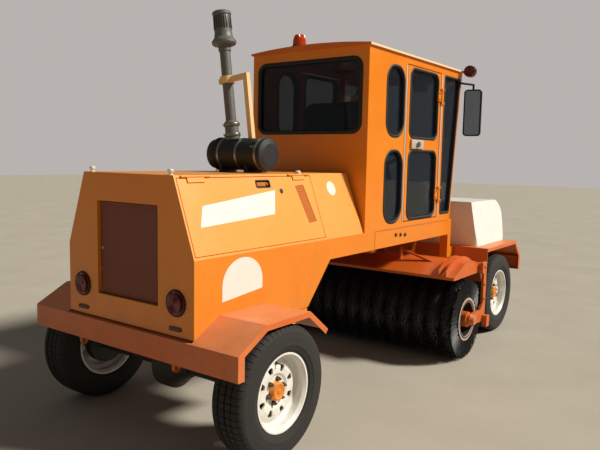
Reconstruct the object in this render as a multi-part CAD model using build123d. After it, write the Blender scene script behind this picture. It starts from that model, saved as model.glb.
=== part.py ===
from build123d import *
from math import atan2, cos, degrees, hypot, radians, sin
import os

# A self-propelled road broom: an engine housing at the rear, a cab amidships,
# a water tank over the front axle and a full-width brush slung under the cab.
# Frame: +X forward, +Y left, +Z up, origin on the ground under the middle.
# Every length is in millimetres and every angle in degrees.

# Stations along the machine, from the tail to the nose
BUMPER_PROUD = 25
HOUSING_LENGTH = 1585
CAB_GAP = 20
CAB_LENGTH = 1440
CAB_TO_AXLE = 510
FRONT_OVERHANG = 540
REAR_AXLE_SETBACK = 345
LENGTH = BUMPER_PROUD + HOUSING_LENGTH + CAB_GAP + CAB_LENGTH + CAB_TO_AXLE + FRONT_OVERHANG
TAIL_X = -LENGTH / 2
HOUSING_REAR_X = TAIL_X + BUMPER_PROUD
HOUSING_FRONT_X = HOUSING_REAR_X + HOUSING_LENGTH
REAR_AXLE_X = HOUSING_REAR_X + REAR_AXLE_SETBACK
CAB_REAR_X = HOUSING_FRONT_X + CAB_GAP
CAB_FRONT_X = CAB_REAR_X + CAB_LENGTH
FRONT_AXLE_X = CAB_FRONT_X + CAB_TO_AXLE
NOSE_X = FRONT_AXLE_X + FRONT_OVERHANG

# Widths
BODY_WIDTH = 1010
OVERALL_WIDTH = 1630
BODY_Y = BODY_WIDTH / 2
SIDE_Y = OVERALL_WIDTH / 2

# Clearances
SEAT_GAP = 0.3
PIN_GAP = 0.4
HINGE_GAP = 1
PANEL_GAP = 5
MOVING_GAP = 8

# Wheels
TYRE_DIAMETER = 700
TYRE_WIDTH = 215
TREAD_GROOVE = 9
RIM_SEAT_DIAMETER = 380
RIM_FLANGE_DIAMETER = 415
RIM_WIDTH = 178
RIM_GAUGE = 6
WELL_DEPTH = 22
DISC_DEPTH = 58
DISC_GAUGE = 9
WINDOW_COUNT = 8
WINDOW_RADIUS = 119
WINDOW_DEPTH = 36
WINDOW_WIDTH = 38
HUB_RADIUS = 45
HUB_PROUD = 22
SPINDLE_RADIUS = 22
AXLE_Z = TYRE_DIAMETER / 2
WHEEL_Y = SIDE_Y - TYRE_WIDTH / 2
RIM_OUTER_Y = WHEEL_Y + RIM_WIDTH / 2
DISC_Y = RIM_OUTER_Y - DISC_DEPTH

# Axles and steering
DRUM_RADIUS = 130
DRUM_WIDTH = 48
DRUM_INSET = 8
AXLE_TUBE_RADIUS = 48
DIFF_RADIUS = 145
DIFF_REACH = 150
PINION_RADIUS = 58
PINION_LENGTH = 260
PAD_LENGTH = 100
PAD_WIDTH = 60
KINGPIN_FROM_DRUM = 67
KINGPIN_RADIUS = 14
KNUCKLE_RADIUS = 32
KNUCKLE_HEIGHT = 120
BEAM_HEIGHT = 50
BEAM_DEPTH = 80
STEER_ARM_LENGTH = 140
STEER_ARM_GAUGE = 18
TIE_RADIUS = 11
STEER_BARREL_RADIUS = 27
STEER_BARREL_LENGTH = 320
DRUM_Y = WHEEL_Y - RIM_WIDTH / 2 + DRUM_INSET
KINGPIN_Y = DRUM_Y - KINGPIN_FROM_DRUM

# Chassis
PLATE = 6
RAIL_TOP_Z = 1036
RAIL_HEIGHT = 130
RAIL_WIDTH = 70
RAIL_PAST_CAB = 62
POST_WIDTH = 62
FRONT_RAIL_HEIGHT = 90
LEG_WIDTH = 140
SILL_TOP_Z = 643
SILL_HEIGHT = 84
KINK_AHEAD_OF_AXLE = 843
FOOT_AHEAD_OF_AXLE = 607
RAIL_SEAM_FROM_CAB = 147
TURN_TOP_Z = 935
TURN_RADIUS = 200
TURN_PIN_RADIUS = 40
RAIL_BOTTOM_Z = RAIL_TOP_Z - RAIL_HEIGHT
RAIL_Y = BODY_Y - PLATE - RAIL_WIDTH / 2
RAIL_IN_Y = RAIL_Y - RAIL_WIDTH / 2
RAIL_OUT_Y = RAIL_Y + RAIL_WIDTH / 2
RAIL_FRONT_X = CAB_FRONT_X + RAIL_PAST_CAB
POST_BACK_X = RAIL_FRONT_X - POST_WIDTH
KINK_X = REAR_AXLE_X + KINK_AHEAD_OF_AXLE
FOOT_X = REAR_AXLE_X + FOOT_AHEAD_OF_AXLE
SILL_BOTTOM_Z = SILL_TOP_Z - SILL_HEIGHT

# Bumpers, fenders and the front deck
BUMPER_TOP_Z = 631
BUMPER_HEIGHT = 126
BUMPER_DEPTH = 45
FENDER_CLEAR = 39
FENDER_LIP = 30
FENDER_GAUGE = 5
FENDER_FLAT_BEHIND = 165
FENDER_FLAT_AHEAD = 196
FENDER_END_AHEAD = 364
FENDER_DROP = 128
DECK_TOP_Z = 796
DECK_BEHIND_AXLE = 380
DECK_AHEAD_OF_AXLE = 380
VALANCE_HEIGHT = 128
LUG_BORE_RADIUS = 13
LUG_RADIUS = 22
LUG_GAUGE = 16
LUG_FROM_TAIL = 24
LUG_DROP = 22
LUG_Y = 380
BUMPER_BOTTOM_Z = BUMPER_TOP_Z - BUMPER_HEIGHT
DECK_BOTTOM_Z = DECK_TOP_Z - FENDER_GAUGE
FRONT_RAIL_Z = DECK_BOTTOM_Z - FRONT_RAIL_HEIGHT
VALANCE_X = FRONT_AXLE_X - DECK_BEHIND_AXLE
SLOPE_X = FRONT_AXLE_X + DECK_AHEAD_OF_AXLE
LUG_X = TAIL_X + LUG_FROM_TAIL
LUG_Z = BUMPER_BOTTOM_Z - LUG_DROP

# Engine housing
HOUSING_TOP_Z = 1443
HOUSING_TOP_WIDTH = 716
FOLD_GROOVE = 4
SIDE_DOOR_MARGIN = 12
SIDE_DOOR_LENGTH = 1130
SIDE_DOOR_FLANGE = 25
FLANGE_GAUGE = 4
SIDE_HINGE_RADIUS = 5
SIDE_HINGE_PIN = 2.5
SIDE_HINGE_REACH = 60
SIDE_HINGE_END = 40
SIDE_HINGE_INSET = 130
LATCH_FROM_DOOR_REAR = 650
LATCH_WIDTH = 118
LATCH_HEIGHT = 38
LATCH_BELOW_TOP = 46
VENT_DEPTH = 4
GRILLE_WIDTH = 490
GRILLE_HEIGHT = 515
GRILLE_BOTTOM_Z = 775
GRILLE_RECESS = 20
GRILLE_FRAME = 22
GRILLE_GAUGE = 14
SCREEN_GAUGE = 4
SLOT_COLUMNS = 34
SLOT_ROWS = 3
SLOT_BAR = 5.5
SLOT_BRIDGE = 12
GRILLE_PIN_RADIUS = 4
TUNNEL_GAUGE = 4
RADIATOR_DEPTH = 90
ENGINE_LENGTH = 500
ENGINE_WIDTH = 460

# Air cleaner, intake stack and its bracket
CLEANER_RADIUS = 100
CLEANER_FROM_AXLE = 560
CLEANER_RAISE = 14
STACK_Y = 64
STACK_LEAN = 7.5
STACK_RADIUS = 34
STACK_NECK = 651
STACK_TOP = 905
STACK_POST_WIDTH = 32
STACK_POST_OFFSET = 159
STACK_ARM_TOP = 487
STACK_ARM_PAST = 62

# Cab
WALL = 40
CAB_HEIGHT = 1264
CAB_LEAN = 150
ROOF_CROWN = 42
ROOF_EDGE = 14
ROOF_OVERHANG = 16
ROOF_PAST_REAR = 12
ROOF_PAST_FRONT = 33
FLOOR_GAUGE = 30
GLASS_GAUGE = 6
FRONT_FRAME = 40
DOOR_FROM_REAR = 565
DOOR_WIDTH = 600
DOOR_SILL = 38
DOOR_HEAD = 51
DOOR_STILE = 50
DOOR_HINGE_RADIUS = 9
DOOR_HINGE_PIN = 4
DOOR_HINGE_REACH = 40
DOOR_HINGE_END = 24
DOOR_HINGE_PROUD = 10
DOOR_HINGE_FROM_END = 190
DOOR_LATCH_FROM_EDGE = 175
DOOR_LATCH_WIDTH = 200
DOOR_LATCH_HEIGHT = 66
REAR_LIGHT_FROM_REAR = 260
REAR_LIGHT_WIDTH = 255
REAR_LIGHT_RADIUS = 105
DOOR_LIGHT_RADIUS = 60
LIGHTS_TOP_DROP = 80
LIGHTS_SILL = 60
MID_BAND_BELOW_MIDDLE = 6
MID_BAND = 105
FRONT_LIGHT_FROM_DOOR = 75
REAR_GLASS_WIDTH = 870
REAR_GLASS_HEIGHT = 478
REAR_GLASS_RADIUS = 55
REAR_GLASS_DROP = 88
SCREEN_SILL = 120
SCREEN_HEAD = 70
SCREEN_POST = 38
SCREEN_RADIUS = 40
SEAT_FROM_REAR = 520
CONSOLE_FROM_FRONT = 300
STEERING_RADIUS = 185
VISOR_FROM_FRONT = 70
VISOR_GAUGE = 12
VISOR_DROP = 85
VISOR_HEIGHT = 68
EAVE_Z = RAIL_TOP_Z + CAB_HEIGHT
MID_BAND_Z = RAIL_TOP_Z + CAB_HEIGHT / 2 - MID_BAND_BELOW_MIDDLE

# Lamps and mirrors
TAIL_LAMP_Y = 380
TAIL_LAMP_Z = 812
TAIL_LAMP_RADIUS = 62
TAIL_LAMP_DEPTH = 20
HEAD_LAMP_RADIUS = 60
HEAD_LAMP_FROM_NOSE = 60
HEAD_LAMP_Y = 420
HEAD_LAMP_ABOVE_BUMPER = 150
BEACON_RADIUS = 55
BEACON_FROM_REAR = 70
BEACON_Y = 130
CORNER_LAMP_RADIUS = 48
CORNER_LAMP_FROM_FRONT = 147
CORNER_LAMP_OUT = 75
MIRROR_WIDTH = 150
MIRROR_HEIGHT = 400
MIRROR_GAUGE = 34
MIRROR_OUT = 85
MIRROR_DROP = 340
MIRROR_AHEAD = 40
MIRROR_YAW = 12

# Water tank
TANK_FROM_CAB = 190
TANK_LENGTH = 750
TANK_WIDTH = 1390
TANK_TOP_WIDTH = 1250
TANK_HEIGHT = 388
TANK_NOSE_RADIUS = 185
TANK_CORNER_RADIUS = 90
TANK_REAR_RADIUS = 40
TANK_CAP_RADIUS = 90

# Broom
BROOM_FROM_CAB_REAR = 940
BRUSH_RADIUS = 310
BRUSH_LENGTH = 1780
BRUSH_CLEAR = 6
CORE_RADIUS = 150
CORE_WALL = 10
CORE_PROUD = 10
WAFER_PITCH = 60
WAFER_GROOVE = 26
HINGE_AHEAD = 255
HINGE_Z = 700
TUBE_RADIUS = 32
HANGER_Y = 255
HANGER_GAUGE = 30
FRAME_BOTTOM_Z = 860
FRAME_TOP_Z = 905
FRAME_BEAM_Y = 80
FRAME_BEAM_WIDTH = 40
FRAME_BACK = 190
CROSS_BAR_AHEAD = 350
CROSS_BAR_DEPTH = 45
LIFT_Z = 880
LIFT_BASE_BACK = 120
LIFT_BARREL_RADIUS = 20
LIFT_BARREL_LENGTH = 230
LIFT_ROD_RADIUS = 10
LIFT_EYE_RADIUS = 16
LIFT_PIN_RADIUS = 5
LEVER_Y = 21
LEVER_GAUGE = 10
TRUNNION_RADIUS = 14
EAR_Y = 24
EAR_GAUGE = 14
EAR_RADIUS = 22
HORN_Y = 250
HORN_DRIFT = 7.5
HORN_PIN_RADIUS = 9
SWING_CYLINDER_Z = 898
SWING_BARREL_RADIUS = 22
SWING_BARREL_BACK = 680
SWING_BARREL_FRONT = 280
SWING_ROD_RADIUS = 12
SWING_EYE_RADIUS = 32
BROOM_ARM_GAUGE = 20
BEARING_RADIUS = 60
SHAFT_RADIUS = 25
SHAFT_PLATE_INSET = 100
HOOD_GAUGE = 5
HOOD_INSET = 20
HOOD_REAR = 268
HOOD_LIP_Z = 655
HOOD_EDGE_Z = 676
RIB_RADIUS = 486
RIB_GAUGE = 6
BRACE_RADIUS = 10
BRACE_FOOT_Y = 623
BRACE_HEAD_Y = 352
BROOM_X = CAB_REAR_X + BROOM_FROM_CAB_REAR
BRUSH_Z = BRUSH_RADIUS + BRUSH_CLEAR
PIVOT_X = BROOM_X + HINGE_AHEAD
LIFT_BASE_X = BROOM_X - LIFT_BASE_BACK
BROOM_ARM_Y = BRUSH_LENGTH / 2 + CORE_PROUD + MOVING_GAP

os.makedirs("parts", exist_ok=True)


def box(x0, x1, y0, y1, z0, z1):
    """A block between two corners."""
    return Pos((x0 + x1) / 2, (y0 + y1) / 2, (z0 + z1) / 2) * Box(x1 - x0, y1 - y0, z1 - z0)


def prism_y(outline, y0, y1):
    """An outline of (x, z) points run across the machine from y0 to y1."""
    face = make_face(Polyline(*outline, close=True))
    return extrude(Plane.XZ.offset(-y1) * face, y1 - y0)


def prism_x(outline, x0, x1):
    """An outline of (y, z) points run along the machine from x0 to x1."""
    face = make_face(Polyline(*outline, close=True))
    return extrude(Plane.YZ.offset(x0) * face, x1 - x0)


def rod_x(radius, x0, x1, y, z):
    return extrude(Plane.YZ.offset(x0) * Pos(y, z) * Circle(radius), x1 - x0)


def rod_y(radius, y0, y1, x, z):
    return extrude(Plane.XZ.offset(-y1) * Pos(x, z) * Circle(radius), y1 - y0)


def rod_z(radius, z0, z1, x, y):
    return extrude(Plane.XY.offset(z0) * Pos(x, y) * Circle(radius), z1 - z0)


def strut(radius, start, end):
    """A round bar between two points."""
    line = Line(start, end)
    return extrude(Plane(origin=line @ 0, z_dir=line % 0) * Circle(radius), line.length)


def mirrored(shape):
    """The same shape on the other side of the machine."""
    return mirror(shape, about=Plane.XZ)


def both(shape):
    """A shape and its mirror image, as one weldment or as a pair."""
    return shape + mirrored(shape)


def window_y(width, height, radius, x, z, y0, y1):
    """A rounded window through a wall that faces sideways."""
    face = Pos(x, z) * RectangleRounded(width, height, radius)
    return extrude(Plane.XZ.offset(-y1) * face, y1 - y0)


def window_x(width, height, radius, y, z, x0, x1):
    """A rounded window through a wall that faces fore and aft."""
    face = Pos(y, z) * RectangleRounded(width, height, radius)
    return extrude(Plane.YZ.offset(x0) * face, x1 - x0)


def folded(points, gauge, y0, y1):
    """Sheet of one gauge, folded along the outline of its upper face."""
    line = Polyline(*points)
    sheet = make_face(offset(line, -gauge, kind=Kind.INTERSECTION, side=Side.RIGHT))
    return extrude(Plane.XZ.offset(-y1) * sheet, y1 - y0)


def spun(outline):
    """A ring on the Y axis from an outline of (y, radius) points."""
    face = make_face(Polyline(*[(radius, y) for y, radius in outline], close=True))
    return revolve(face, Axis.Y)


def hinge_parts(radius, pin, reach, end):
    """A hinge on the Z axis: the leaf's tube, and the frame's pin with a knuckle at each end."""
    tube = rod_z(radius, -reach, reach, 0, 0) - rod_z(pin + PIN_GAP, -reach, reach, 0, 0)
    knuckles = rod_z(radius, reach + HINGE_GAP, reach + end, 0, 0)
    knuckles += rod_z(radius, -reach - end, -reach - HINGE_GAP, 0, 0)
    return tube, knuckles + rod_z(pin, -reach - end, reach + end, 0, 0)


def save(name, shape):
    shape.label = name
    export_step(shape, os.path.join("parts", name + ".step"))


# Wheels

def tyre_ring():
    """A tyre on the Y axis at the origin, with three grooves round its tread."""
    wall_y = TYRE_WIDTH / 2
    crown = TYRE_DIAMETER / 2
    seat = RIM_SEAT_DIAMETER / 2 + SEAT_GAP
    bead = RIM_WIDTH / 2 - 12 - SEAT_GAP
    tread = wall_y - 24
    # distance from the middle, radius
    flank = [
        (bead, seat), (bead, seat + 20), (wall_y - 5, seat + 48), (wall_y, seat + 84),
        (wall_y - 6, crown - 32), (tread, crown - 5), (tread * 0.62, crown), (tread * 0.56, crown - TREAD_GROOVE),
        (tread * 0.46, crown), (tread * 0.08, crown),
    ]
    other_flank = [(-y, radius) for y, radius in reversed(flank)]
    return spun(flank + [(0, crown - TREAD_GROOVE)] + other_flank)


def wheel_rim():
    """A pressed steel wheel with windows round a dished disc, outer face to +Y."""
    edge = RIM_WIDTH / 2
    seat = RIM_SEAT_DIAMETER / 2
    flange = RIM_FLANGE_DIAMETER / 2
    disc = edge - DISC_DEPTH
    well = seat - WELL_DEPTH
    outside = [
        (-edge, flange), (-edge + 8, flange), (-edge + 12, seat), (-30, seat), (-14, well), (14, well),
        (30, seat), (edge - 12, seat), (edge - 8, flange), (edge, flange),
    ]
    inside = [
        (edge, flange - 10), (edge - 16, seat - RIM_GAUGE), (36, seat - RIM_GAUGE), (20, well - RIM_GAUGE),
        (-20, well - RIM_GAUGE), (-36, seat - RIM_GAUGE), (-edge + 16, seat - RIM_GAUGE), (-edge, flange - 10),
    ]
    # how far the disc's outer face stands out, radius
    dish = [(0, 0), (0, 78), (8, 92), (10, 122), (4, 146), (-6, well - 4), (-16, well + 2)]
    face = [(disc + out, radius) for out, radius in dish]
    back = [(disc + out - DISC_GAUGE, radius) for out, radius in reversed(dish[:-2])]
    rim = spun(outside + inside) + spun(face + back)
    window = [
        (WINDOW_RADIUS - WINDOW_DEPTH / 2, -WINDOW_WIDTH / 4), (WINDOW_RADIUS + WINDOW_DEPTH / 4, -WINDOW_WIDTH / 2),
        (WINDOW_RADIUS + WINDOW_DEPTH / 2, -WINDOW_WIDTH / 3), (WINDOW_RADIUS + WINDOW_DEPTH / 2, WINDOW_WIDTH / 3),
        (WINDOW_RADIUS + WINDOW_DEPTH / 4, WINDOW_WIDTH / 2), (WINDOW_RADIUS - WINDOW_DEPTH / 2, WINDOW_WIDTH / 4),
    ]
    for index in range(WINDOW_COUNT):
        rim -= Rot(Y=360 / WINDOW_COUNT * (index + 0.5)) * prism_y(window, disc - 30, disc + 30)
    rim += rod_y(HUB_RADIUS, disc - 60, disc + HUB_PROUD, 0, 0)
    return rim - rod_y(SPINDLE_RADIUS + PIN_GAP, disc - 61, disc, 0, 0)


tyre = tyre_ring()
rim = wheel_rim()
# name, station, side
WHEELS = [
    ("rear_left", REAR_AXLE_X, 1),
    ("rear_right", REAR_AXLE_X, -1),
    ("front_left", FRONT_AXLE_X, 1),
    ("front_right", FRONT_AXLE_X, -1),
]
for name, station, side in WHEELS:
    place = Pos(station, side * WHEEL_Y, AXLE_Z)
    save("tyre_" + name, place * tyre)
    save("rim_" + name, place * (rim if side > 0 else mirrored(rim)))

# Axles and steering

stub = rod_y(SPINDLE_RADIUS, DRUM_Y, DISC_Y - SEAT_GAP, 0, AXLE_Z)
drum = rod_y(DRUM_RADIUS, DRUM_Y, DRUM_Y + DRUM_WIDTH, 0, AXLE_Z) + stub
pad_in = RAIL_Y - PAD_WIDTH / 2
pad_out = RAIL_Y + PAD_WIDTH / 2
collar_radius = AXLE_TUBE_RADIUS + 12
# distance from the middle, radius
diff_outline = [
    (-DIFF_REACH, 0), (-DIFF_REACH, collar_radius), (-95, 95), (-40, DIFF_RADIUS), (40, DIFF_RADIUS),
    (95, 95), (DIFF_REACH, collar_radius), (DIFF_REACH, 0),
]
rear_axle = rod_y(AXLE_TUBE_RADIUS, -DRUM_Y, DRUM_Y, 0, AXLE_Z)
rear_axle += Pos(0, 0, AXLE_Z) * spun(diff_outline)
rear_axle += rod_x(PINION_RADIUS, 0, PINION_LENGTH, 0, AXLE_Z)
rear_axle += both(drum + box(-PAD_LENGTH / 2, PAD_LENGTH / 2, pad_in, pad_out, AXLE_Z, SILL_BOTTOM_Z))
save("rear_axle", Pos(REAR_AXLE_X, 0, 0) * rear_axle)

beam_low = AXLE_Z - BEAM_HEIGHT / 2
beam_high = AXLE_Z + BEAM_HEIGHT / 2
beam_y = KINGPIN_Y - 30
knuckle_low = AXLE_Z - KNUCKLE_HEIGHT / 2
knuckle_high = AXLE_Z + KNUCKLE_HEIGHT / 2
front_axle = box(-BEAM_DEPTH / 2, BEAM_DEPTH / 2, -beam_y, beam_y, beam_low, beam_high)
front_axle += both(rod_z(KNUCKLE_RADIUS, beam_low, beam_high, 0, KINGPIN_Y))
front_axle += both(rod_z(KINGPIN_RADIUS, knuckle_low, knuckle_high, 0, KINGPIN_Y))
front_axle += both(box(-PAD_LENGTH / 2, PAD_LENGTH / 2, pad_in, pad_out, AXLE_Z, FRONT_RAIL_Z - SEAT_GAP))
barrel_reach = STEER_BARREL_LENGTH / 2
steer_barrel = rod_y(STEER_BARREL_RADIUS, -barrel_reach, barrel_reach, -STEER_ARM_LENGTH, AXLE_Z)
steer_barrel += both(box(-STEER_ARM_LENGTH, -30, 90, 110, AXLE_Z - 20, AXLE_Z + 20))
steer_barrel -= rod_y(TIE_RADIUS + PIN_GAP, -SIDE_Y, SIDE_Y, -STEER_ARM_LENGTH, AXLE_Z)
save("front_axle", Pos(FRONT_AXLE_X, 0, 0) * (front_axle + steer_barrel))

ball_y = KINGPIN_Y - 4
knuckle = rod_z(KNUCKLE_RADIUS, knuckle_low, knuckle_high, 0, KINGPIN_Y)
knuckle += box(-KNUCKLE_RADIUS, KNUCKLE_RADIUS, KINGPIN_Y, DRUM_Y, knuckle_low, knuckle_high)
knuckle -= box(-60, 60, KINGPIN_Y - 60, KINGPIN_Y + KNUCKLE_RADIUS + 5, beam_low - 2, beam_high + 2)
knuckle += drum
steer_arm_top = knuckle_low + STEER_ARM_GAUGE
knuckle += box(-STEER_ARM_LENGTH, 0, ball_y - 14, ball_y + 14, knuckle_low, steer_arm_top)
knuckle += rod_z(20, knuckle_low, steer_arm_top, -STEER_ARM_LENGTH, ball_y)
knuckle -= rod_z(KINGPIN_RADIUS + PIN_GAP, 0, AXLE_Z * 2, 0, KINGPIN_Y)
save("knuckle_left", Pos(FRONT_AXLE_X, 0, 0) * knuckle)
save("knuckle_right", Pos(FRONT_AXLE_X, 0, 0) * mirrored(knuckle))

tie_rod = rod_y(TIE_RADIUS, -ball_y, ball_y, -STEER_ARM_LENGTH, AXLE_Z)
tie_rod += both(rod_z(17, steer_arm_top + SEAT_GAP, AXLE_Z + 16, -STEER_ARM_LENGTH, ball_y))
save("tie_rod", Pos(FRONT_AXLE_X, 0, 0) * tie_rod)

# Chassis frame

sill_rear_x = TAIL_X + BUMPER_DEPTH
front_sill_x = SLOPE_X - 12
rail_outline = [
    (FOOT_X, SILL_TOP_Z), (KINK_X, RAIL_BOTTOM_Z), (POST_BACK_X, RAIL_BOTTOM_Z), (POST_BACK_X, FRONT_RAIL_Z),
    (front_sill_x, FRONT_RAIL_Z), (front_sill_x, DECK_BOTTOM_Z), (RAIL_FRONT_X, DECK_BOTTOM_Z),
    (RAIL_FRONT_X, RAIL_TOP_Z), (KINK_X - LEG_WIDTH, RAIL_TOP_Z), (FOOT_X - LEG_WIDTH, SILL_TOP_Z),
    (sill_rear_x, SILL_TOP_Z), (sill_rear_x, SILL_BOTTOM_Z), (FOOT_X, SILL_BOTTOM_Z),
]
save("chassis_frame", both(prism_y(rail_outline, RAIL_IN_Y, RAIL_OUT_Y)))

# Cross members between the rails, with the turntable and the swing cylinder's barrel

swing_barrel_back = BROOM_X - SWING_BARREL_BACK
swing_barrel_front = BROOM_X - SWING_BARREL_FRONT
# station of the middle, half length, bottom, top
CROSS_MEMBERS = [
    (sill_rear_x + 40, 40, SILL_BOTTOM_Z, SILL_TOP_Z),
    (FOOT_X - 60, 40, SILL_BOTTOM_Z, SILL_TOP_Z),
    (KINK_X + 60, 35, RAIL_BOTTOM_Z, RAIL_TOP_Z),
    (swing_barrel_back, 35, RAIL_BOTTOM_Z - 40, RAIL_TOP_Z),
    (RAIL_FRONT_X - POST_WIDTH / 2, POST_WIDTH / 2, RAIL_BOTTOM_Z + 40, RAIL_TOP_Z),
    (FRONT_AXLE_X, 60, FRONT_RAIL_Z, DECK_BOTTOM_Z),
]
members = Part() + [
    box(middle - reach, middle + reach, -RAIL_IN_Y, RAIL_IN_Y, bottom, top)
    for middle, reach, bottom, top in CROSS_MEMBERS
]

table_reach = TURN_RADIUS - 40
turntable = box(BROOM_X - table_reach, BROOM_X + table_reach, -RAIL_IN_Y, RAIL_IN_Y, TURN_TOP_Z, RAIL_TOP_Z)
turntable += rod_z(TURN_RADIUS, TURN_TOP_Z, RAIL_TOP_Z, BROOM_X, 0)
turntable -= rod_z(TURN_PIN_RADIUS + PIN_GAP, 0, RAIL_TOP_Z - 20, BROOM_X, 0)
members += turntable

# The swing cylinder's barrel, held along the machine by the cross member behind it
cylinder_y = HORN_Y - HORN_DRIFT
members += rod_x(SWING_BARREL_RADIUS, swing_barrel_back, swing_barrel_front, cylinder_y, SWING_CYLINDER_Z)
members -= rod_x(
    SWING_ROD_RADIUS + PIN_GAP, swing_barrel_back + 90, swing_barrel_front + 1, cylinder_y, SWING_CYLINDER_Z,
)
save("cross_members", members)

# Rear bumper with its fenders, and the front deck with its bumper

channel = [
    (0, BUMPER_BOTTOM_Z), (BUMPER_DEPTH, BUMPER_BOTTOM_Z), (BUMPER_DEPTH, BUMPER_BOTTOM_Z + PLATE),
    (PLATE, BUMPER_BOTTOM_Z + PLATE), (PLATE, BUMPER_TOP_Z - PLATE), (BUMPER_DEPTH, BUMPER_TOP_Z - PLATE),
    (BUMPER_DEPTH, BUMPER_TOP_Z), (0, BUMPER_TOP_Z),
]
bumper = prism_y(channel, -SIDE_Y, SIDE_Y)
bumper += both(box(0, BUMPER_DEPTH, SIDE_Y - PLATE, SIDE_Y, BUMPER_BOTTOM_Z, BUMPER_TOP_Z))

fender_top = TYRE_DIAMETER + FENDER_CLEAR
fender_line = [
    (TAIL_X, BUMPER_TOP_Z), (REAR_AXLE_X - FENDER_FLAT_BEHIND, fender_top),
    (REAR_AXLE_X + FENDER_FLAT_AHEAD, fender_top), (REAR_AXLE_X + FENDER_END_AHEAD, fender_top - FENDER_DROP),
]
rear_bumper = Pos(TAIL_X, 0, 0) * bumper
rear_bumper += both(folded(fender_line, FENDER_GAUGE, BODY_Y, SIDE_Y))
rear_bumper += both(folded(fender_line, FENDER_LIP, SIDE_Y - FENDER_GAUGE, SIDE_Y))
# Tie-down lugs on the bumper below the lamps
lug = rod_y(LUG_RADIUS, -LUG_GAUGE / 2, LUG_GAUGE / 2, LUG_X, LUG_Z)
lug += box(LUG_X - LUG_RADIUS, LUG_X + LUG_RADIUS, -LUG_GAUGE / 2, LUG_GAUGE / 2, LUG_Z, BUMPER_BOTTOM_Z)
lug -= rod_y(LUG_BORE_RADIUS, -LUG_GAUGE, LUG_GAUGE, LUG_X, LUG_Z)
rear_bumper += both(Pos(0, LUG_Y, 0) * lug)
save("rear_bumper", rear_bumper)

deck_line = [
    (VALANCE_X, DECK_TOP_Z - VALANCE_HEIGHT), (VALANCE_X, DECK_TOP_Z), (SLOPE_X, DECK_TOP_Z), (NOSE_X, BUMPER_TOP_Z),
]
front_deck = Pos(NOSE_X, 0, 0) * Rot(Z=180) * bumper
front_deck += folded(deck_line, FENDER_GAUGE, -SIDE_Y, SIDE_Y)
front_deck += both(folded(deck_line[1:], FENDER_LIP, SIDE_Y - FENDER_GAUGE, SIDE_Y))
front_deck -= both(box(VALANCE_X - 1, VALANCE_X + PLATE, RAIL_IN_Y - 1, RAIL_OUT_Y + 1, 0, DECK_BOTTOM_Z))
save("front_deck", front_deck)

# Engine housing

top_y = HOUSING_TOP_WIDTH / 2
flank_length = hypot(BODY_Y - top_y, HOUSING_TOP_Z - RAIL_TOP_Z)
flank_angle = degrees(atan2(HOUSING_TOP_Z - RAIL_TOP_Z, BODY_Y - top_y))
core_y = BODY_Y - PLATE
core_top_y = top_y - PLATE * 0.7
section = [
    (-BODY_Y, SILL_TOP_Z), (-BODY_Y, RAIL_TOP_Z), (-top_y, HOUSING_TOP_Z), (top_y, HOUSING_TOP_Z),
    (BODY_Y, RAIL_TOP_Z), (BODY_Y, SILL_TOP_Z),
]
core = [
    (-core_y, SILL_TOP_Z - 1), (-core_y, RAIL_TOP_Z + 1), (-core_top_y, HOUSING_TOP_Z - PLATE),
    (core_top_y, HOUSING_TOP_Z - PLATE), (core_y, RAIL_TOP_Z + 1), (core_y, SILL_TOP_Z - 1),
]
housing = prism_x(section, HOUSING_REAR_X, HOUSING_FRONT_X)
housing -= prism_x(core, HOUSING_REAR_X + PLATE, HOUSING_FRONT_X - PLATE)
# The lower front corner is cut away along the frame's slanting leg
notch = [
    (FOOT_X, SILL_TOP_Z - 2), (KINK_X, RAIL_BOTTOM_Z), (HOUSING_FRONT_X + 1, RAIL_BOTTOM_Z),
    (HOUSING_FRONT_X + 1, SILL_TOP_Z - 2),
]
housing -= prism_y(notch, -BODY_Y - 1, BODY_Y + 1)
housing -= box(HOUSING_FRONT_X - PLATE - 1, HOUSING_FRONT_X + 1, -core_y, core_y, 0, RAIL_TOP_Z)
housing += both(box(HOUSING_FRONT_X, CAB_REAR_X + RAIL_SEAM_FROM_CAB, core_y, BODY_Y, RAIL_BOTTOM_Z, RAIL_TOP_Z))

# Side doors in the sloping flanks, worked out flat: y outwards, z up the flank from the fold
door_x0 = HOUSING_REAR_X + SIDE_DOOR_MARGIN
door_x1 = door_x0 + SIDE_DOOR_LENGTH
door_z0 = SIDE_DOOR_MARGIN
door_z1 = flank_length - SIDE_DOOR_MARGIN
door_back = -PLATE - SEAT_GAP
flank = Pos(0, BODY_Y, RAIL_TOP_Z) * Rot(X=90 - flank_angle)
flange = box(
    door_x0 - 6, door_x1 + 10, door_back - FLANGE_GAUGE, -PLATE / 2, door_z0 - 8, door_z1 + 8,
)
flange -= box(
    door_x0 + SIDE_DOOR_FLANGE, door_x1 - SIDE_DOOR_FLANGE, door_back - PLATE, 1,
    door_z0 + SIDE_DOOR_FLANGE, door_z1 - SIDE_DOOR_FLANGE,
)
pocket = box(door_x0, door_x1, door_back, PLATE, door_z0, door_z1)
doorway = box(
    door_x0 + SIDE_DOOR_FLANGE, door_x1 - SIDE_DOOR_FLANGE, -PLATE * 3, PLATE,
    door_z0 + SIDE_DOOR_FLANGE, door_z1 - SIDE_DOOR_FLANGE,
)
housing = housing + both(flank * flange) - both(flank * pocket) - both(flank * doorway)
side_door = box(
    door_x0 + PANEL_GAP, door_x1 - PANEL_GAP, -PLATE, 0, door_z0 + PANEL_GAP, door_z1 - PANEL_GAP,
)
latch_x = door_x0 + LATCH_FROM_DOOR_REAR
latch_z = door_z1 - LATCH_BELOW_TOP
side_door -= window_y(LATCH_WIDTH, LATCH_HEIGHT, 6, latch_x, latch_z, -PLATE - 1, 1)
side_door -= rod_y(12, -PLATE - 1, 1, door_x0 + 802, flank_length * 0.757)
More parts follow.
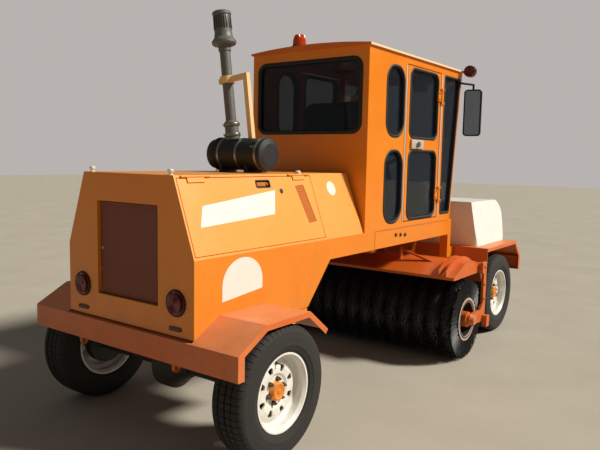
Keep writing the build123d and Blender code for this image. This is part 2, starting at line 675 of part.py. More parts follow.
# A slanting pressed vent near the door's front edge
vent = [
    (door_x0 + 947, flank_length * 0.82), (door_x0 + 1033, flank_length * 0.838),
    (door_x0 + 1077, flank_length * 0.287), (door_x0 + 994, flank_length * 0.27),
]
side_door -= prism_y(vent, -VENT_DEPTH, 1)
side_hinge_y = SIDE_HINGE_RADIUS + 2
side_hinge_z = door_z1 + 2
tube, pin = hinge_parts(SIDE_HINGE_RADIUS, SIDE_HINGE_PIN, SIDE_HINGE_REACH, SIDE_HINGE_END)
leaf_reach = SIDE_HINGE_REACH + SIDE_HINGE_END
for x in (door_x0 + SIDE_HINGE_INSET, door_x1 - SIDE_HINGE_INSET):
    place = Pos(x, side_hinge_y, side_hinge_z) * Rot(Y=90)
    side_door += place * tube
    side_door += box(
        x - SIDE_HINGE_REACH, x + SIDE_HINGE_REACH, -1, side_hinge_y, side_hinge_z - 30, side_hinge_z - 3.5,
    )
    leaf = box(x - leaf_reach, x + leaf_reach, -1, 4, side_hinge_z - 1, flank_length - 1)
    leaf -= box(x - SIDE_HINGE_REACH - 1, x + SIDE_HINGE_REACH + 1, 0, 5, side_hinge_z - 2, flank_length)
    housing += both(flank * (leaf + place * pin))
side_door -= box(
    door_x0, door_x1, -PLATE - 1, 0, door_z1 - PANEL_GAP, side_hinge_z,
)
save("side_door_left", flank * side_door)
save("side_door_right", mirrored(flank * side_door))

# The shadow line under the fixed flank ahead of the doors
housing -= both(box(door_x1 + 20, HOUSING_FRONT_X - 8, BODY_Y - 2, BODY_Y + 1, RAIL_TOP_Z - FOLD_GROOVE, RAIL_TOP_Z))

# Radiator screen in a short tunnel in the rear wall, hung on two upright pins
grille_y = GRILLE_WIDTH / 2
grille_top_z = GRILLE_BOTTOM_Z + GRILLE_HEIGHT
tunnel_x = HOUSING_REAR_X + GRILLE_RECESS + GRILLE_GAUGE
housing += box(
    HOUSING_REAR_X, tunnel_x, -grille_y - TUNNEL_GAUGE, grille_y + TUNNEL_GAUGE,
    GRILLE_BOTTOM_Z - TUNNEL_GAUGE, grille_top_z + TUNNEL_GAUGE,
)
housing -= box(HOUSING_REAR_X - 1, tunnel_x + 1, -grille_y, grille_y, GRILLE_BOTTOM_Z, grille_top_z)
screen_x = HOUSING_REAR_X + GRILLE_RECESS
screen_y = grille_y - PANEL_GAP
screen_z0 = GRILLE_BOTTOM_Z + PANEL_GAP
screen_z1 = grille_top_z - PANEL_GAP
field_y = screen_y - GRILLE_FRAME
field_z0 = screen_z0 + GRILLE_FRAME
field_z1 = screen_z1 - GRILLE_FRAME
grille = box(screen_x, screen_x + GRILLE_GAUGE, -screen_y, screen_y, screen_z0, screen_z1)
grille -= box(screen_x + SCREEN_GAUGE, tunnel_x + 1, -field_y, field_y, field_z0, field_z1)
slot_pitch = (2 * field_y - SLOT_BAR) / SLOT_COLUMNS
row_pitch = (field_z1 - field_z0 - SLOT_BRIDGE) / SLOT_ROWS
slots = Sketch() + [
    Pos(-field_y + SLOT_BAR / 2 + slot_pitch * (column + 0.5), field_z0 + SLOT_BRIDGE / 2 + row_pitch * (row + 0.5))
    * Rectangle(slot_pitch - SLOT_BAR, row_pitch - SLOT_BRIDGE)
    for column in range(SLOT_COLUMNS) for row in range(SLOT_ROWS)
]
grille -= extrude(Plane.YZ.offset(screen_x - 1) * slots, SCREEN_GAUGE + 2)
GRILLE_AXIS_X = screen_x + GRILLE_GAUGE / 2
GRILLE_AXIS_Y = -screen_y + 12
pin_low = GRILLE_BOTTOM_Z - TUNNEL_GAUGE
pin_high = grille_top_z + TUNNEL_GAUGE
grille += rod_z(GRILLE_PIN_RADIUS, pin_low, screen_z0 + 10, GRILLE_AXIS_X, GRILLE_AXIS_Y)
grille += rod_z(GRILLE_PIN_RADIUS, screen_z1 - 10, pin_high, GRILLE_AXIS_X, GRILLE_AXIS_Y)
save("grille_door", grille)
housing -= rod_z(GRILLE_PIN_RADIUS + PIN_GAP, pin_low - 1, pin_high + 1, GRILLE_AXIS_X, GRILLE_AXIS_Y)
save("engine_housing", housing)

radiator_x = tunnel_x + 40
radiator_y = grille_y + 45
engine_x = REAR_AXLE_X + 60
engine = box(radiator_x, radiator_x + RADIATOR_DEPTH, -radiator_y, radiator_y, SILL_TOP_Z, HOUSING_TOP_Z - 110)
engine_block = box(
    engine_x, engine_x + ENGINE_LENGTH, -ENGINE_WIDTH / 2, ENGINE_WIDTH / 2, SILL_TOP_Z, HOUSING_TOP_Z - 230,
)
save("engine", engine + engine_block)

# Air cleaner, intake stack and its bracket

cleaner_x = REAR_AXLE_X + CLEANER_FROM_AXLE
cleaner_z = HOUSING_TOP_Z + CLEANER_RADIUS + CLEANER_RAISE
# distance from the middle, radius
cleaner_outline = [
    (-232, 0), (-232, 66), (-222, 98), (-210, 104), (-165, 104), (-158, CLEANER_RADIUS), (150, CLEANER_RADIUS),
    (158, 106), (176, 106), (184, CLEANER_RADIUS), (216, 94), (225, 80), (225, 0),
]
cleaner = Pos(cleaner_x, 0, cleaner_z) * spun(cleaner_outline)
for y in (-95, 115):
    cleaner += box(cleaner_x - 70, cleaner_x + 70, y - 15, y + 15, HOUSING_TOP_Z, cleaner_z - CLEANER_RADIUS / 2)
save("air_cleaner", cleaner)

# distance up the stack from the cleaner's middle, radius
stack_outline = [
    (90, 0), (90, 46), (108, 46), (112, 51), (132, 51), (136, 44), (174, 44), (178, 51), (198, 51), (202, 44),
    (214, STACK_RADIUS), (STACK_NECK, STACK_RADIUS), (STACK_NECK + 4, 40), (STACK_NECK + 38, 40),
    (STACK_NECK + 44, 72), (STACK_NECK + 52, 78), (STACK_NECK + 66, 78), (STACK_NECK + 88, 61),
    (STACK_NECK + 114, 56), (STACK_TOP - 26, 54), (STACK_TOP - 22, 60), (STACK_TOP - 6, 60), (STACK_TOP, 52),
    (STACK_TOP, 0),
]
lean = Pos(cleaner_x, STACK_Y, cleaner_z) * Rot(X=90 - STACK_LEAN)
cleaner_drum = Pos(cleaner_x, 0, cleaner_z) * rod_y(CLEANER_RADIUS, -158, 150, 0, 0)
stack = lean * spun(stack_outline) - cleaner_drum
save("intake_stack", stack)

# The bracket leans with the stack: x forward, y up the stack, z across it from the pipe's axis
half_post = STACK_POST_WIDTH / 2
arm_low = STACK_ARM_TOP - STACK_POST_WIDTH
bracket = box(
    -half_post, half_post, 60, STACK_ARM_TOP, STACK_POST_OFFSET - half_post, STACK_POST_OFFSET + half_post,
)
bracket += box(-half_post, half_post, arm_low, STACK_ARM_TOP, -STACK_ARM_PAST, STACK_POST_OFFSET)
bracket += rod_y(STACK_RADIUS + 12, arm_low - 6, STACK_ARM_TOP + 6, 0, 0)
bracket -= rod_y(STACK_RADIUS + SEAT_GAP, arm_low - 10, STACK_ARM_TOP + 10, 0, 0)
bracket = lean * bracket - cleaner_drum
save("stack_bracket", bracket)

# Cab

wall_in = BODY_Y - WALL
glass_y = BODY_Y - WALL / 2
lights_top = EAVE_Z - LIGHTS_TOP_DROP
lights_bottom = RAIL_TOP_Z + LIGHTS_SILL
cab_door_x0 = CAB_REAR_X + DOOR_FROM_REAR
cab_door_x1 = cab_door_x0 + DOOR_WIDTH
cab_door_z0 = RAIL_TOP_Z + DOOR_SILL
cab_door_z1 = EAVE_Z - DOOR_HEAD
upper_height = lights_top - MID_BAND_Z - MID_BAND / 2
lower_height = MID_BAND_Z - MID_BAND / 2 - lights_bottom
upper_mid = lights_top - upper_height / 2
lower_mid = lights_bottom + lower_height / 2
rear_light_x = CAB_REAR_X + REAR_LIGHT_FROM_REAR + REAR_LIGHT_WIDTH / 2
pane_x = (cab_door_x0 + cab_door_x1) / 2
pane_width = DOOR_WIDTH - 2 * DOOR_STILE - 2 * MOVING_GAP
# middle x, middle z, width, height, corner radius
SIDE_LIGHTS = [
    (rear_light_x, upper_mid - 8, REAR_LIGHT_WIDTH, upper_height - 15, REAR_LIGHT_RADIUS),
    (rear_light_x, lower_mid - 8, REAR_LIGHT_WIDTH, lower_height, REAR_LIGHT_RADIUS),
]
DOOR_LIGHTS = [
    (pane_x, upper_mid, pane_width, upper_height, DOOR_LIGHT_RADIUS),
    (pane_x, lower_mid, pane_width, lower_height, DOOR_LIGHT_RADIUS),
]


def frame_back(z):
    """How far forward the leaning windscreen frame's back face is at a height."""
    return CAB_FRONT_X - FRONT_FRAME + CAB_LEAN * (z - RAIL_TOP_Z) / CAB_HEIGHT


def front_light(margin):
    """The tall side light between the door and the windscreen frame, pulled in by a margin."""
    low = lights_bottom + 10 + margin
    high = lights_top + 10 - margin
    back = cab_door_x1 + FRONT_LIGHT_FROM_DOOR + margin
    front_low = frame_back(low) + 0.5 - margin * 3
    front_high = frame_back(high) + 0.5 - margin * 3
    return [(back, low), (front_low, low), (front_high, high), (back, high)]


def panes(lights, clearance):
    """Glass for a row of lights in the left wall."""
    shape = Part()
    y0 = glass_y - GLASS_GAUGE / 2
    for x, z, width, height, radius in lights:
        pane_radius = radius - clearance / 2
        shape += window_y(width - clearance, height - clearance, pane_radius, x, z, y0, y0 + GLASS_GAUGE)
    return shape


cab_side = prism_y([
    (CAB_REAR_X, RAIL_TOP_Z), (frame_back(RAIL_TOP_Z), RAIL_TOP_Z), (frame_back(EAVE_Z), EAVE_Z), (CAB_REAR_X, EAVE_Z),
], wall_in, BODY_Y)
for x, z, width, height, radius in SIDE_LIGHTS:
    cab_side -= window_y(width, height, radius, x, z, wall_in - 1, BODY_Y + 1)
cab_side -= prism_y(front_light(0), wall_in - 1, BODY_Y + 1)
cab_side -= box(cab_door_x0, cab_door_x1, wall_in - 1, BODY_Y + 1, cab_door_z0, cab_door_z1)

cab_door = box(
    cab_door_x0 + MOVING_GAP, cab_door_x1 - MOVING_GAP, wall_in, BODY_Y,
    cab_door_z0 + MOVING_GAP, cab_door_z1 - MOVING_GAP,
)
for x, z, width, height, radius in DOOR_LIGHTS:
    cab_door -= window_y(width, height, radius, x, z, wall_in - 1, BODY_Y + 1)
CAB_HINGE_Y = BODY_Y + DOOR_HINGE_PROUD
CAB_HINGE_X = cab_door_x1 - MOVING_GAP / 2
strap = 60
tube, pin = hinge_parts(DOOR_HINGE_RADIUS, DOOR_HINGE_PIN, DOOR_HINGE_REACH, DOOR_HINGE_END)
for z in (cab_door_z0 + DOOR_HINGE_FROM_END, cab_door_z1 - DOOR_HINGE_FROM_END):
    place = Pos(CAB_HINGE_X, CAB_HINGE_Y, z)
    cab_door += place * tube
    cab_door += box(
        CAB_HINGE_X - strap, CAB_HINGE_X - 6, BODY_Y, CAB_HINGE_Y, z - DOOR_HINGE_REACH, z + DOOR_HINGE_REACH,
    )
    cab_side += place * pin
    for end in (-1, 1):
        middle = z + end * (DOOR_HINGE_REACH + (DOOR_HINGE_END + HINGE_GAP) / 2)
        reach = (DOOR_HINGE_END - HINGE_GAP) / 2
        cab_side += box(
            CAB_HINGE_X + 4, CAB_HINGE_X + strap, BODY_Y, CAB_HINGE_Y, middle - reach, middle + reach,
        )
latch_x = cab_door_x0 + DOOR_LATCH_FROM_EDGE
latch_y = BODY_Y + 14
cab_door += box(
    latch_x - DOOR_LATCH_WIDTH / 2, latch_x + DOOR_LATCH_WIDTH / 2, BODY_Y, latch_y,
    MID_BAND_Z - DOOR_LATCH_HEIGHT / 2, MID_BAND_Z + DOOR_LATCH_HEIGHT / 2,
)
cab_door += rod_y(20, latch_y, latch_y + 16, latch_x, MID_BAND_Z)
save("cab_side_left", cab_side)
save("cab_side_right", mirrored(cab_side))
save("door_left", cab_door)
save("door_right", mirrored(cab_door))
door_glass = panes(DOOR_LIGHTS, 2 * SEAT_GAP)
save("door_glass_left", door_glass)
save("door_glass_right", mirrored(door_glass))

rear_glass_z = EAVE_Z - REAR_GLASS_DROP - REAR_GLASS_HEIGHT / 2
rear_glass_x = CAB_REAR_X + 15
rear_wall = box(CAB_REAR_X, CAB_REAR_X + WALL, -wall_in, wall_in, RAIL_TOP_Z, EAVE_Z)
rear_wall -= window_x(
    REAR_GLASS_WIDTH, REAR_GLASS_HEIGHT, REAR_GLASS_RADIUS, 0, rear_glass_z, CAB_REAR_X - 1, CAB_REAR_X + WALL + 1,
)
save("cab_rear_wall", rear_wall)

slant = Plane(origin=(CAB_FRONT_X, 0, RAIL_TOP_Z), x_dir=(0, 1, 0), z_dir=(CAB_HEIGHT, 0, -CAB_LEAN))
screen_width = 2 * BODY_Y - 2 * SCREEN_POST
screen_height = hypot(CAB_HEIGHT, CAB_LEAN) - SCREEN_SILL - SCREEN_HEAD
screen_middle = Pos(0, SCREEN_SILL + screen_height / 2)
cab_front = prism_y([
    (frame_back(RAIL_TOP_Z), RAIL_TOP_Z), (CAB_FRONT_X, RAIL_TOP_Z), (CAB_FRONT_X + CAB_LEAN, EAVE_Z),
    (frame_back(EAVE_Z), EAVE_Z),
], -BODY_Y, BODY_Y)
cab_front -= extrude(
    slant * screen_middle * RectangleRounded(screen_width, screen_height, SCREEN_RADIUS), 2 * FRONT_FRAME, both=True,
)
save("cab_front", cab_front)

cab_glass = window_x(
    REAR_GLASS_WIDTH - 2 * SEAT_GAP, REAR_GLASS_HEIGHT - 2 * SEAT_GAP, REAR_GLASS_RADIUS - SEAT_GAP, 0,
    rear_glass_z, rear_glass_x, rear_glass_x + GLASS_GAUGE,
)
cab_glass += extrude(
    slant.offset(-FRONT_FRAME / 2) * screen_middle * RectangleRounded(
        screen_width - 2 * SEAT_GAP, screen_height - 2 * SEAT_GAP, SCREEN_RADIUS - SEAT_GAP,
    ), GLASS_GAUGE,
)
side_glass = panes(SIDE_LIGHTS, 2 * SEAT_GAP)
side_glass += prism_y(front_light(SEAT_GAP), glass_y - GLASS_GAUGE / 2, glass_y + GLASS_GAUGE / 2)
save("cab_glass", cab_glass + both(side_glass))

roof_y = BODY_Y + ROOF_OVERHANG
roof_back = CAB_REAR_X - ROOF_PAST_REAR
roof_front = CAB_FRONT_X + CAB_LEAN + ROOF_PAST_FRONT
roof_arc = ThreePointArc((-roof_y, EAVE_Z + ROOF_EDGE), (0, EAVE_Z + ROOF_CROWN), (roof_y, EAVE_Z + ROOF_EDGE))
roof_base = Polyline(
    (roof_y, EAVE_Z + ROOF_EDGE), (roof_y, EAVE_Z), (-roof_y, EAVE_Z), (-roof_y, EAVE_Z + ROOF_EDGE),
)
roof = extrude(Plane.YZ.offset(roof_back) * make_face(roof_arc + roof_base), roof_front - roof_back)
save("cab_roof", roof)

floor_z = RAIL_TOP_Z + FLOOR_GAUGE
floor = box(CAB_REAR_X + WALL, frame_back(RAIL_TOP_Z), -wall_in, wall_in, RAIL_TOP_Z, floor_z)
save("cab_floor", floor)

seat_x = CAB_REAR_X + SEAT_FROM_REAR
cushion_z = floor_z + 250
seat = box(seat_x - 180, seat_x + 180, -180, 180, floor_z, cushion_z)
seat += extrude(Plane.XY.offset(cushion_z) * Pos(seat_x, 0) * RectangleRounded(480, 480, 70), 120)
seat += extrude(Plane.YZ.offset(seat_x - 260) * Pos(0, cushion_z + 370) * RectangleRounded(460, 560, 90), 110)
save("seat", seat)

console_x = CAB_FRONT_X - CONSOLE_FROM_FRONT
wheel_centre = (console_x - 10, 0, floor_z + 520)
console = prism_y([
    (console_x + 60, floor_z), (CAB_FRONT_X - 70, floor_z), (CAB_FRONT_X - 60, floor_z + 260),
    (console_x + 140, floor_z + 300),
], -300, 300)
console += strut(26, (console_x + 150, 0, floor_z + 260), wheel_centre)
wheel_plane = Plane(origin=wheel_centre, z_dir=(-160, 0, 260))
console += Solid.make_torus(STEERING_RADIUS, 15, wheel_plane)
console += extrude(wheel_plane * Rectangle(36, 2 * STEERING_RADIUS), 6, both=True)
save("console", console)

visor_x = CAB_FRONT_X + VISOR_FROM_FRONT
visor_top = EAVE_Z - VISOR_DROP
visor = box(visor_x, visor_x + VISOR_GAUGE, -219, -82, visor_top - VISOR_HEIGHT, visor_top)
for y in (-195, -106):
    visor += rod_z(5, visor_top - 10, EAVE_Z, visor_x + VISOR_GAUGE / 2, y)
save("sun_visor", visor)

# Lamps and mirrors

tail_lamp = rod_x(TAIL_LAMP_RADIUS, HOUSING_REAR_X - TAIL_LAMP_DEPTH / 2, HOUSING_REAR_X, TAIL_LAMP_Y, TAIL_LAMP_Z)
tail_lamp += rod_x(
    TAIL_LAMP_RADIUS - 12, HOUSING_REAR_X - TAIL_LAMP_DEPTH, HOUSING_REAR_X, TAIL_LAMP_Y, TAIL_LAMP_Z,
)
save("tail_lamps", both(tail_lamp))

beacon_outline = [
    (-14, 0), (-14, BEACON_RADIUS), (10, BEACON_RADIUS), (14, 48), (60, 44), (86, 34), (94, 16), (94, 0),
]
beacon = Pos(CAB_REAR_X + BEACON_FROM_REAR, BEACON_Y, EAVE_Z + ROOF_CROWN) * Rot(X=90) * spun(beacon_outline)
save("roof_beacon", beacon - roof)

corner_x = CAB_FRONT_X + CORNER_LAMP_FROM_FRONT
corner_y = BODY_Y + CORNER_LAMP_OUT
corner_z = EAVE_Z + ROOF_EDGE / 2
corner_lamp = box(corner_x - 20, corner_x + 20, roof_y + SEAT_GAP, corner_y, corner_z - 5, corner_z + 5)
corner_lamp += rod_x(CORNER_LAMP_RADIUS, corner_x - 32, corner_x + 20, corner_y, corner_z)
corner_lamp -= roof
corner_lamp -= box(corner_x - 50, corner_x + 50, 0, roof_y + SEAT_GAP, 0, EAVE_Z * 2)
save("corner_lamps", both(corner_lamp))

head_x = NOSE_X - HEAD_LAMP_FROM_NOSE
head_z = BUMPER_TOP_Z + HEAD_LAMP_ABOVE_BUMPER
head_lamp = rod_x(HEAD_LAMP_RADIUS - 6, head_x - 38, head_x + 30, HEAD_LAMP_Y, head_z)
head_lamp += rod_x(HEAD_LAMP_RADIUS, head_x + 6, head_x + 22, HEAD_LAMP_Y, head_z)
head_lamp += box(head_x - 15, head_x + 15, HEAD_LAMP_Y - 15, HEAD_LAMP_Y + 15, BUMPER_TOP_Z, head_z)
below_slope = [
    (SLOPE_X, 0), (NOSE_X, 0), (NOSE_X, BUMPER_TOP_Z + SEAT_GAP), (SLOPE_X, DECK_TOP_Z + SEAT_GAP),
]
head_lamp -= prism_y(below_slope, 0, SIDE_Y)
save("head_lamps", both(head_lamp))

mirror_x = CAB_FRONT_X + CAB_LEAN + MIRROR_AHEAD
mirror_y = BODY_Y + MIRROR_OUT
mirror_z = EAVE_Z - MIRROR_DROP
mirror_top = mirror_z + MIRROR_HEIGHT / 2
stay_x = mirror_x + MIRROR_GAUGE / 2
mirror_head = Pos(stay_x, mirror_y, mirror_z) * Rot(Z=-MIRROR_YAW) * window_x(
    MIRROR_WIDTH, MIRROR_HEIGHT, 30, 0, 0, -MIRROR_GAUGE / 2, MIRROR_GAUGE / 2,
)
mirror_head += strut(9, (stay_x, mirror_y, mirror_top - 10), (stay_x, mirror_y, mirror_top + 44))
mirror_head += strut(9, (stay_x, mirror_y + 4, mirror_top + 40), (CAB_FRONT_X + CAB_LEAN - 30, BODY_Y, mirror_top + 50))
save("mirrors", both(mirror_head - cab_front - cab_side))

# Water tank

tank_x0 = CAB_FRONT_X + TANK_FROM_CAB
tank_x1 = tank_x0 + TANK_LENGTH
tank_y = TANK_WIDTH / 2
tank_top_y = TANK_TOP_WIDTH / 2
tank_top_z = DECK_TOP_Z + TANK_HEIGHT
tank_side = box(tank_x0, tank_x1, -tank_y, tank_y, DECK_TOP_Z, tank_top_z)
nose = tank_side.edges().filter_by(Axis.Y).group_by(Axis.Z)[-1].sort_by(Axis.X)[-1]
tank_side = fillet(nose, TANK_NOSE_RADIUS)
tank_plan = box(tank_x0, tank_x1, -tank_y, tank_y, DECK_TOP_Z, tank_top_z)
corners = tank_plan.edges().filter_by(Axis.Z).group_by(Axis.X)
tank_plan = fillet(corners[-1], TANK_CORNER_RADIUS)
tank_plan = fillet(tank_plan.edges().filter_by(Axis.Z).group_by(Axis.X)[0], TANK_REAR_RADIUS)
tank_end = prism_x([
    (-tank_y, DECK_TOP_Z), (-tank_top_y, tank_top_z), (tank_top_y, tank_top_z), (tank_y, DECK_TOP_Z),
], tank_x0, tank_x1)
tank = tank_side & tank_plan & tank_end
tank += rod_z(TANK_CAP_RADIUS, tank_top_z - 1, tank_top_z + 28, tank_x0 + 150, 0)
save("water_tank", tank)

# Broom: the swinging frame under the turntable

beam_in = FRAME_BEAM_Y - FRAME_BEAM_WIDTH / 2
beam_out = FRAME_BEAM_Y + FRAME_BEAM_WIDTH / 2
hanger_in = HANGER_Y - HANGER_GAUGE / 2
hanger_out = HANGER_Y + HANGER_GAUGE / 2
bar_x0 = BROOM_X + CROSS_BAR_AHEAD
bar_x1 = bar_x0 + CROSS_BAR_DEPTH
frame_x0 = BROOM_X - FRAME_BACK
swing_frame = rod_z(TURN_RADIUS, FRAME_TOP_Z, TURN_TOP_Z - SEAT_GAP, BROOM_X, 0)
swing_frame += rod_z(TURN_PIN_RADIUS, FRAME_TOP_Z, RAIL_TOP_Z - 30, BROOM_X, 0)
swing_frame += both(box(frame_x0, bar_x1, beam_in, beam_out, FRAME_BOTTOM_Z, FRAME_TOP_Z))
swing_frame += box(bar_x0, bar_x1, -hanger_out, hanger_out, FRAME_BOTTOM_Z, FRAME_TOP_Z)
swing_frame += box(frame_x0, frame_x0 + 40, -beam_in, beam_in, FRAME_BOTTOM_Z, FRAME_TOP_Z)
hanger_outline = [
    (bar_x1, FRAME_TOP_Z), (bar_x0, FRAME_TOP_Z), (bar_x0, FRAME_BOTTOM_Z), (PIVOT_X + 44, HINGE_Z + 90),
    (PIVOT_X - 20, HINGE_Z + 56), (PIVOT_X - 52, HINGE_Z + 26), (PIVOT_X - 52, HINGE_Z - 26),
    (PIVOT_X - 28, HINGE_Z - 52), (PIVOT_X + 28, HINGE_Z - 52), (PIVOT_X + 56, HINGE_Z - 20),
]
hanger = prism_y(hanger_outline, hanger_in, hanger_out)
hanger -= rod_y(TUBE_RADIUS + PIN_GAP, hanger_in - 1, hanger_out + 1, PIVOT_X, HINGE_Z)
swing_frame += both(hanger)
ear = box(frame_x0 + 40, LIFT_BASE_X, EAR_Y, EAR_Y + EAR_GAUGE, LIFT_Z - EAR_RADIUS, LIFT_Z + EAR_RADIUS)
ear += rod_y(EAR_RADIUS, EAR_Y, EAR_Y + EAR_GAUGE, LIFT_BASE_X, LIFT_Z)
swing_frame += both(ear)
swing_frame -= rod_y(TRUNNION_RADIUS + PIN_GAP, -beam_in, beam_in, LIFT_BASE_X, LIFT_Z)
horn_z0 = FRAME_BOTTOM_Z + 6
horn_z1 = FRAME_BOTTOM_Z + 20
swing_frame += box(BROOM_X - 40, BROOM_X + 40, beam_out, HORN_Y, horn_z0, horn_z1)
swing_frame += rod_z(40, horn_z0, horn_z1, BROOM_X, HORN_Y)
swing_frame += rod_z(HORN_PIN_RADIUS, horn_z0, SWING_CYLINDER_Z + 14, BROOM_X, HORN_Y)
save("swing_frame", swing_frame)

swing_rod = rod_x(SWING_ROD_RADIUS, swing_barrel_front - 150, BROOM_X - 26, cylinder_y, SWING_CYLINDER_Z)
swing_rod += rod_z(SWING_EYE_RADIUS, SWING_CYLINDER_Z - 14, SWING_CYLINDER_Z + 14, BROOM_X, cylinder_y)
swing_rod -= rod_z(
    HORN_PIN_RADIUS + HORN_DRIFT + 2, SWING_CYLINDER_Z - 15, SWING_CYLINDER_Z + 15, BROOM_X, cylinder_y,
)
save("swing_rod", swing_rod)

ear_out = EAR_Y + EAR_GAUGE
lift_barrel_end = LIFT_BASE_X + LIFT_BARREL_LENGTH
lift_barrel = rod_y(TRUNNION_RADIUS, -ear_out, ear_out, LIFT_BASE_X, LIFT_Z)
lift_barrel += rod_x(LIFT_BARREL_RADIUS, LIFT_BASE_X, lift_barrel_end, 0, LIFT_Z)
lift_barrel -= rod_x(LIFT_ROD_RADIUS + PIN_GAP, LIFT_BASE_X + 40, lift_barrel_end + 1, 0, LIFT_Z)
save("lift_barrel", lift_barrel)
lift_rod = rod_x(LIFT_ROD_RADIUS, LIFT_BASE_X + 90, PIVOT_X - 12, 0, LIFT_Z)
lift_rod += rod_y(LIFT_EYE_RADIUS, -12, 12, PIVOT_X, LIFT_Z)
lift_rod -= rod_y(LIFT_PIN_RADIUS + 6, -13, 13, PIVOT_X, LIFT_Z)
save("lift_rod", lift_rod)

# Broom head: hood, torsion tube and drop arms in one weldment

hood_y = BROOM_ARM_Y - HOOD_INSET
arm_out_y = BROOM_ARM_Y + BROOM_ARM_GAUGE
hood_line = [
    (BROOM_X - HOOD_REAR, HOOD_LIP_Z), (BROOM_X - HOOD_REAR, HOOD_EDGE_Z), (BROOM_X - 60, 760), (BROOM_X + 120, 760),
    (BROOM_X + 285, 700), (BROOM_X + 350, 560),
]
cheek_outline = [
    (BROOM_X - HOOD_REAR, HOOD_LIP_Z), (BROOM_X - HOOD_REAR, HOOD_EDGE_Z - 2), (BROOM_X - 60, 757), (BROOM_X + 120, 757),
    (BROOM_X + 283, 697), (BROOM_X + 345, 565), (BROOM_X + 318, 565), (BROOM_X + 250, HOOD_LIP_Z),
]
broom_head = folded(hood_line, HOOD_GAUGE, -hood_y, hood_y)
broom_head -= both(rod_y(112, hanger_in - 6, hanger_out + 6, PIVOT_X, HINGE_Z))
broom_head += both(prism_y(cheek_outline, hood_y - HOOD_GAUGE, hood_y))
broom_head += rod_y(TUBE_RADIUS, -arm_out_y, arm_out_y, PIVOT_X, HINGE_Z)
arm_outline = [
    (PIVOT_X - 36, HINGE_Z + 36), (BROOM_X + 305, HINGE_Z + 36), (BROOM_X + 305, BRUSH_Z - 60),
    (BROOM_X + 240, BRUSH_Z - 60), (BROOM_X, BRUSH_Z - 44), (BROOM_X, BRUSH_Z + 44), (BROOM_X + 200, BRUSH_Z + 40),
    (BROOM_X + 250, BRUSH_Z + 90), (BROOM_X + 250, HINGE_Z - 60), (PIVOT_X - 36, HINGE_Z - 36),
]
broom_arm = prism_y(arm_outline, BROOM_ARM_Y, arm_out_y) + rod_y(44, BROOM_ARM_Y, arm_out_y, BROOM_X, BRUSH_Z)
broom_arm += rod_y(BEARING_RADIUS, BROOM_ARM_Y - 80, BROOM_ARM_Y, BROOM_X, BRUSH_Z)
broom_arm += rod_y(SHAFT_RADIUS, BROOM_ARM_Y - SHAFT_PLATE_INSET - 10, BROOM_ARM_Y - 80, BROOM_X, BRUSH_Z)
broom_arm += box(BROOM_X + 245, BROOM_X + 305, arm_out_y, arm_out_y + 40, BRUSH_Z - 100, BRUSH_Z - 10)
broom_head += both(broom_arm)
above_hood = [
    (BROOM_X - HOOD_REAR, HOOD_EDGE_Z - 1), (BROOM_X - 60, 757), (BROOM_X + 120, 757), (BROOM_X + 250, 710),
    (BROOM_X + 250, 900), (BROOM_X - HOOD_REAR, 900),
]
rib = rod_y(RIB_RADIUS, 0, RIB_GAUGE, BROOM_X, BRUSH_Z) & prism_y(above_hood, -1, RIB_GAUGE + 1)
for y in (760, 820):
    broom_head += both(Pos(0, y, 0) * rib)
brace_x = BROOM_X - 80
broom_head += both(strut(BRACE_RADIUS, (brace_x, BRACE_FOOT_Y, 746), (brace_x, BRACE_HEAD_Y, 826)))
broom_head += both(box(brace_x - 15, brace_x + 15, BRACE_HEAD_Y - 6, BRACE_HEAD_Y + 6, 745, 838))
lever = prism_y([
    (PIVOT_X - 36, HINGE_Z), (PIVOT_X + 36, HINGE_Z), (PIVOT_X + 18, LIFT_Z + 18), (PIVOT_X - 18, LIFT_Z + 18),
], LEVER_Y - LEVER_GAUGE / 2, LEVER_Y + LEVER_GAUGE / 2)
broom_head += both(lever)
broom_head += rod_y(LIFT_PIN_RADIUS, -LEVER_Y - 5, LEVER_Y + 5, PIVOT_X, LIFT_Z)
save("broom_head", broom_head)

# Brush reel: stacked wafers on a hollow core, turning on a plate near each end

reel_y = BRUSH_LENGTH / 2
wafer_count = int(BRUSH_LENGTH / WAFER_PITCH)
wafer_pitch = BRUSH_LENGTH / wafer_count
core_inside = CORE_RADIUS - CORE_WALL
core_y = reel_y + CORE_PROUD
plate_y = BROOM_ARM_Y - SHAFT_PLATE_INSET
shaft_bore = SHAFT_RADIUS + PIN_GAP
reel_outline = [(-core_y, core_inside), (-core_y, CORE_RADIUS), (-reel_y, CORE_RADIUS)]
for index in range(wafer_count):
    left = -reel_y + index * wafer_pitch
    reel_outline += [
        (left + 1, BRUSH_RADIUS - WAFER_GROOVE), (left + wafer_pitch * 0.3, BRUSH_RADIUS),
        (left + wafer_pitch * 0.7, BRUSH_RADIUS), (left + wafer_pitch - 1, BRUSH_RADIUS - WAFER_GROOVE),
    ]
reel_outline += [(reel_y, CORE_RADIUS), (core_y, CORE_RADIUS), (core_y, core_inside)]
reel_outline += [
    (plate_y, core_inside), (plate_y, shaft_bore), (plate_y - 20, shaft_bore), (plate_y - 20, core_inside),
    (-plate_y + 20, core_inside), (-plate_y + 20, shaft_bore), (-plate_y, shaft_bore), (-plate_y, core_inside),
]
save("brush_reel", Pos(BROOM_X, 0, BRUSH_Z) * spun(reel_outline))
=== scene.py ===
import random
from math import cos, pi, radians, sin

import bmesh
import bpy
from bpy.props import FloatProperty, IntProperty, StringProperty
from bpy.types import Operator, Panel, PropertyGroup
from mathutils import Matrix, Vector


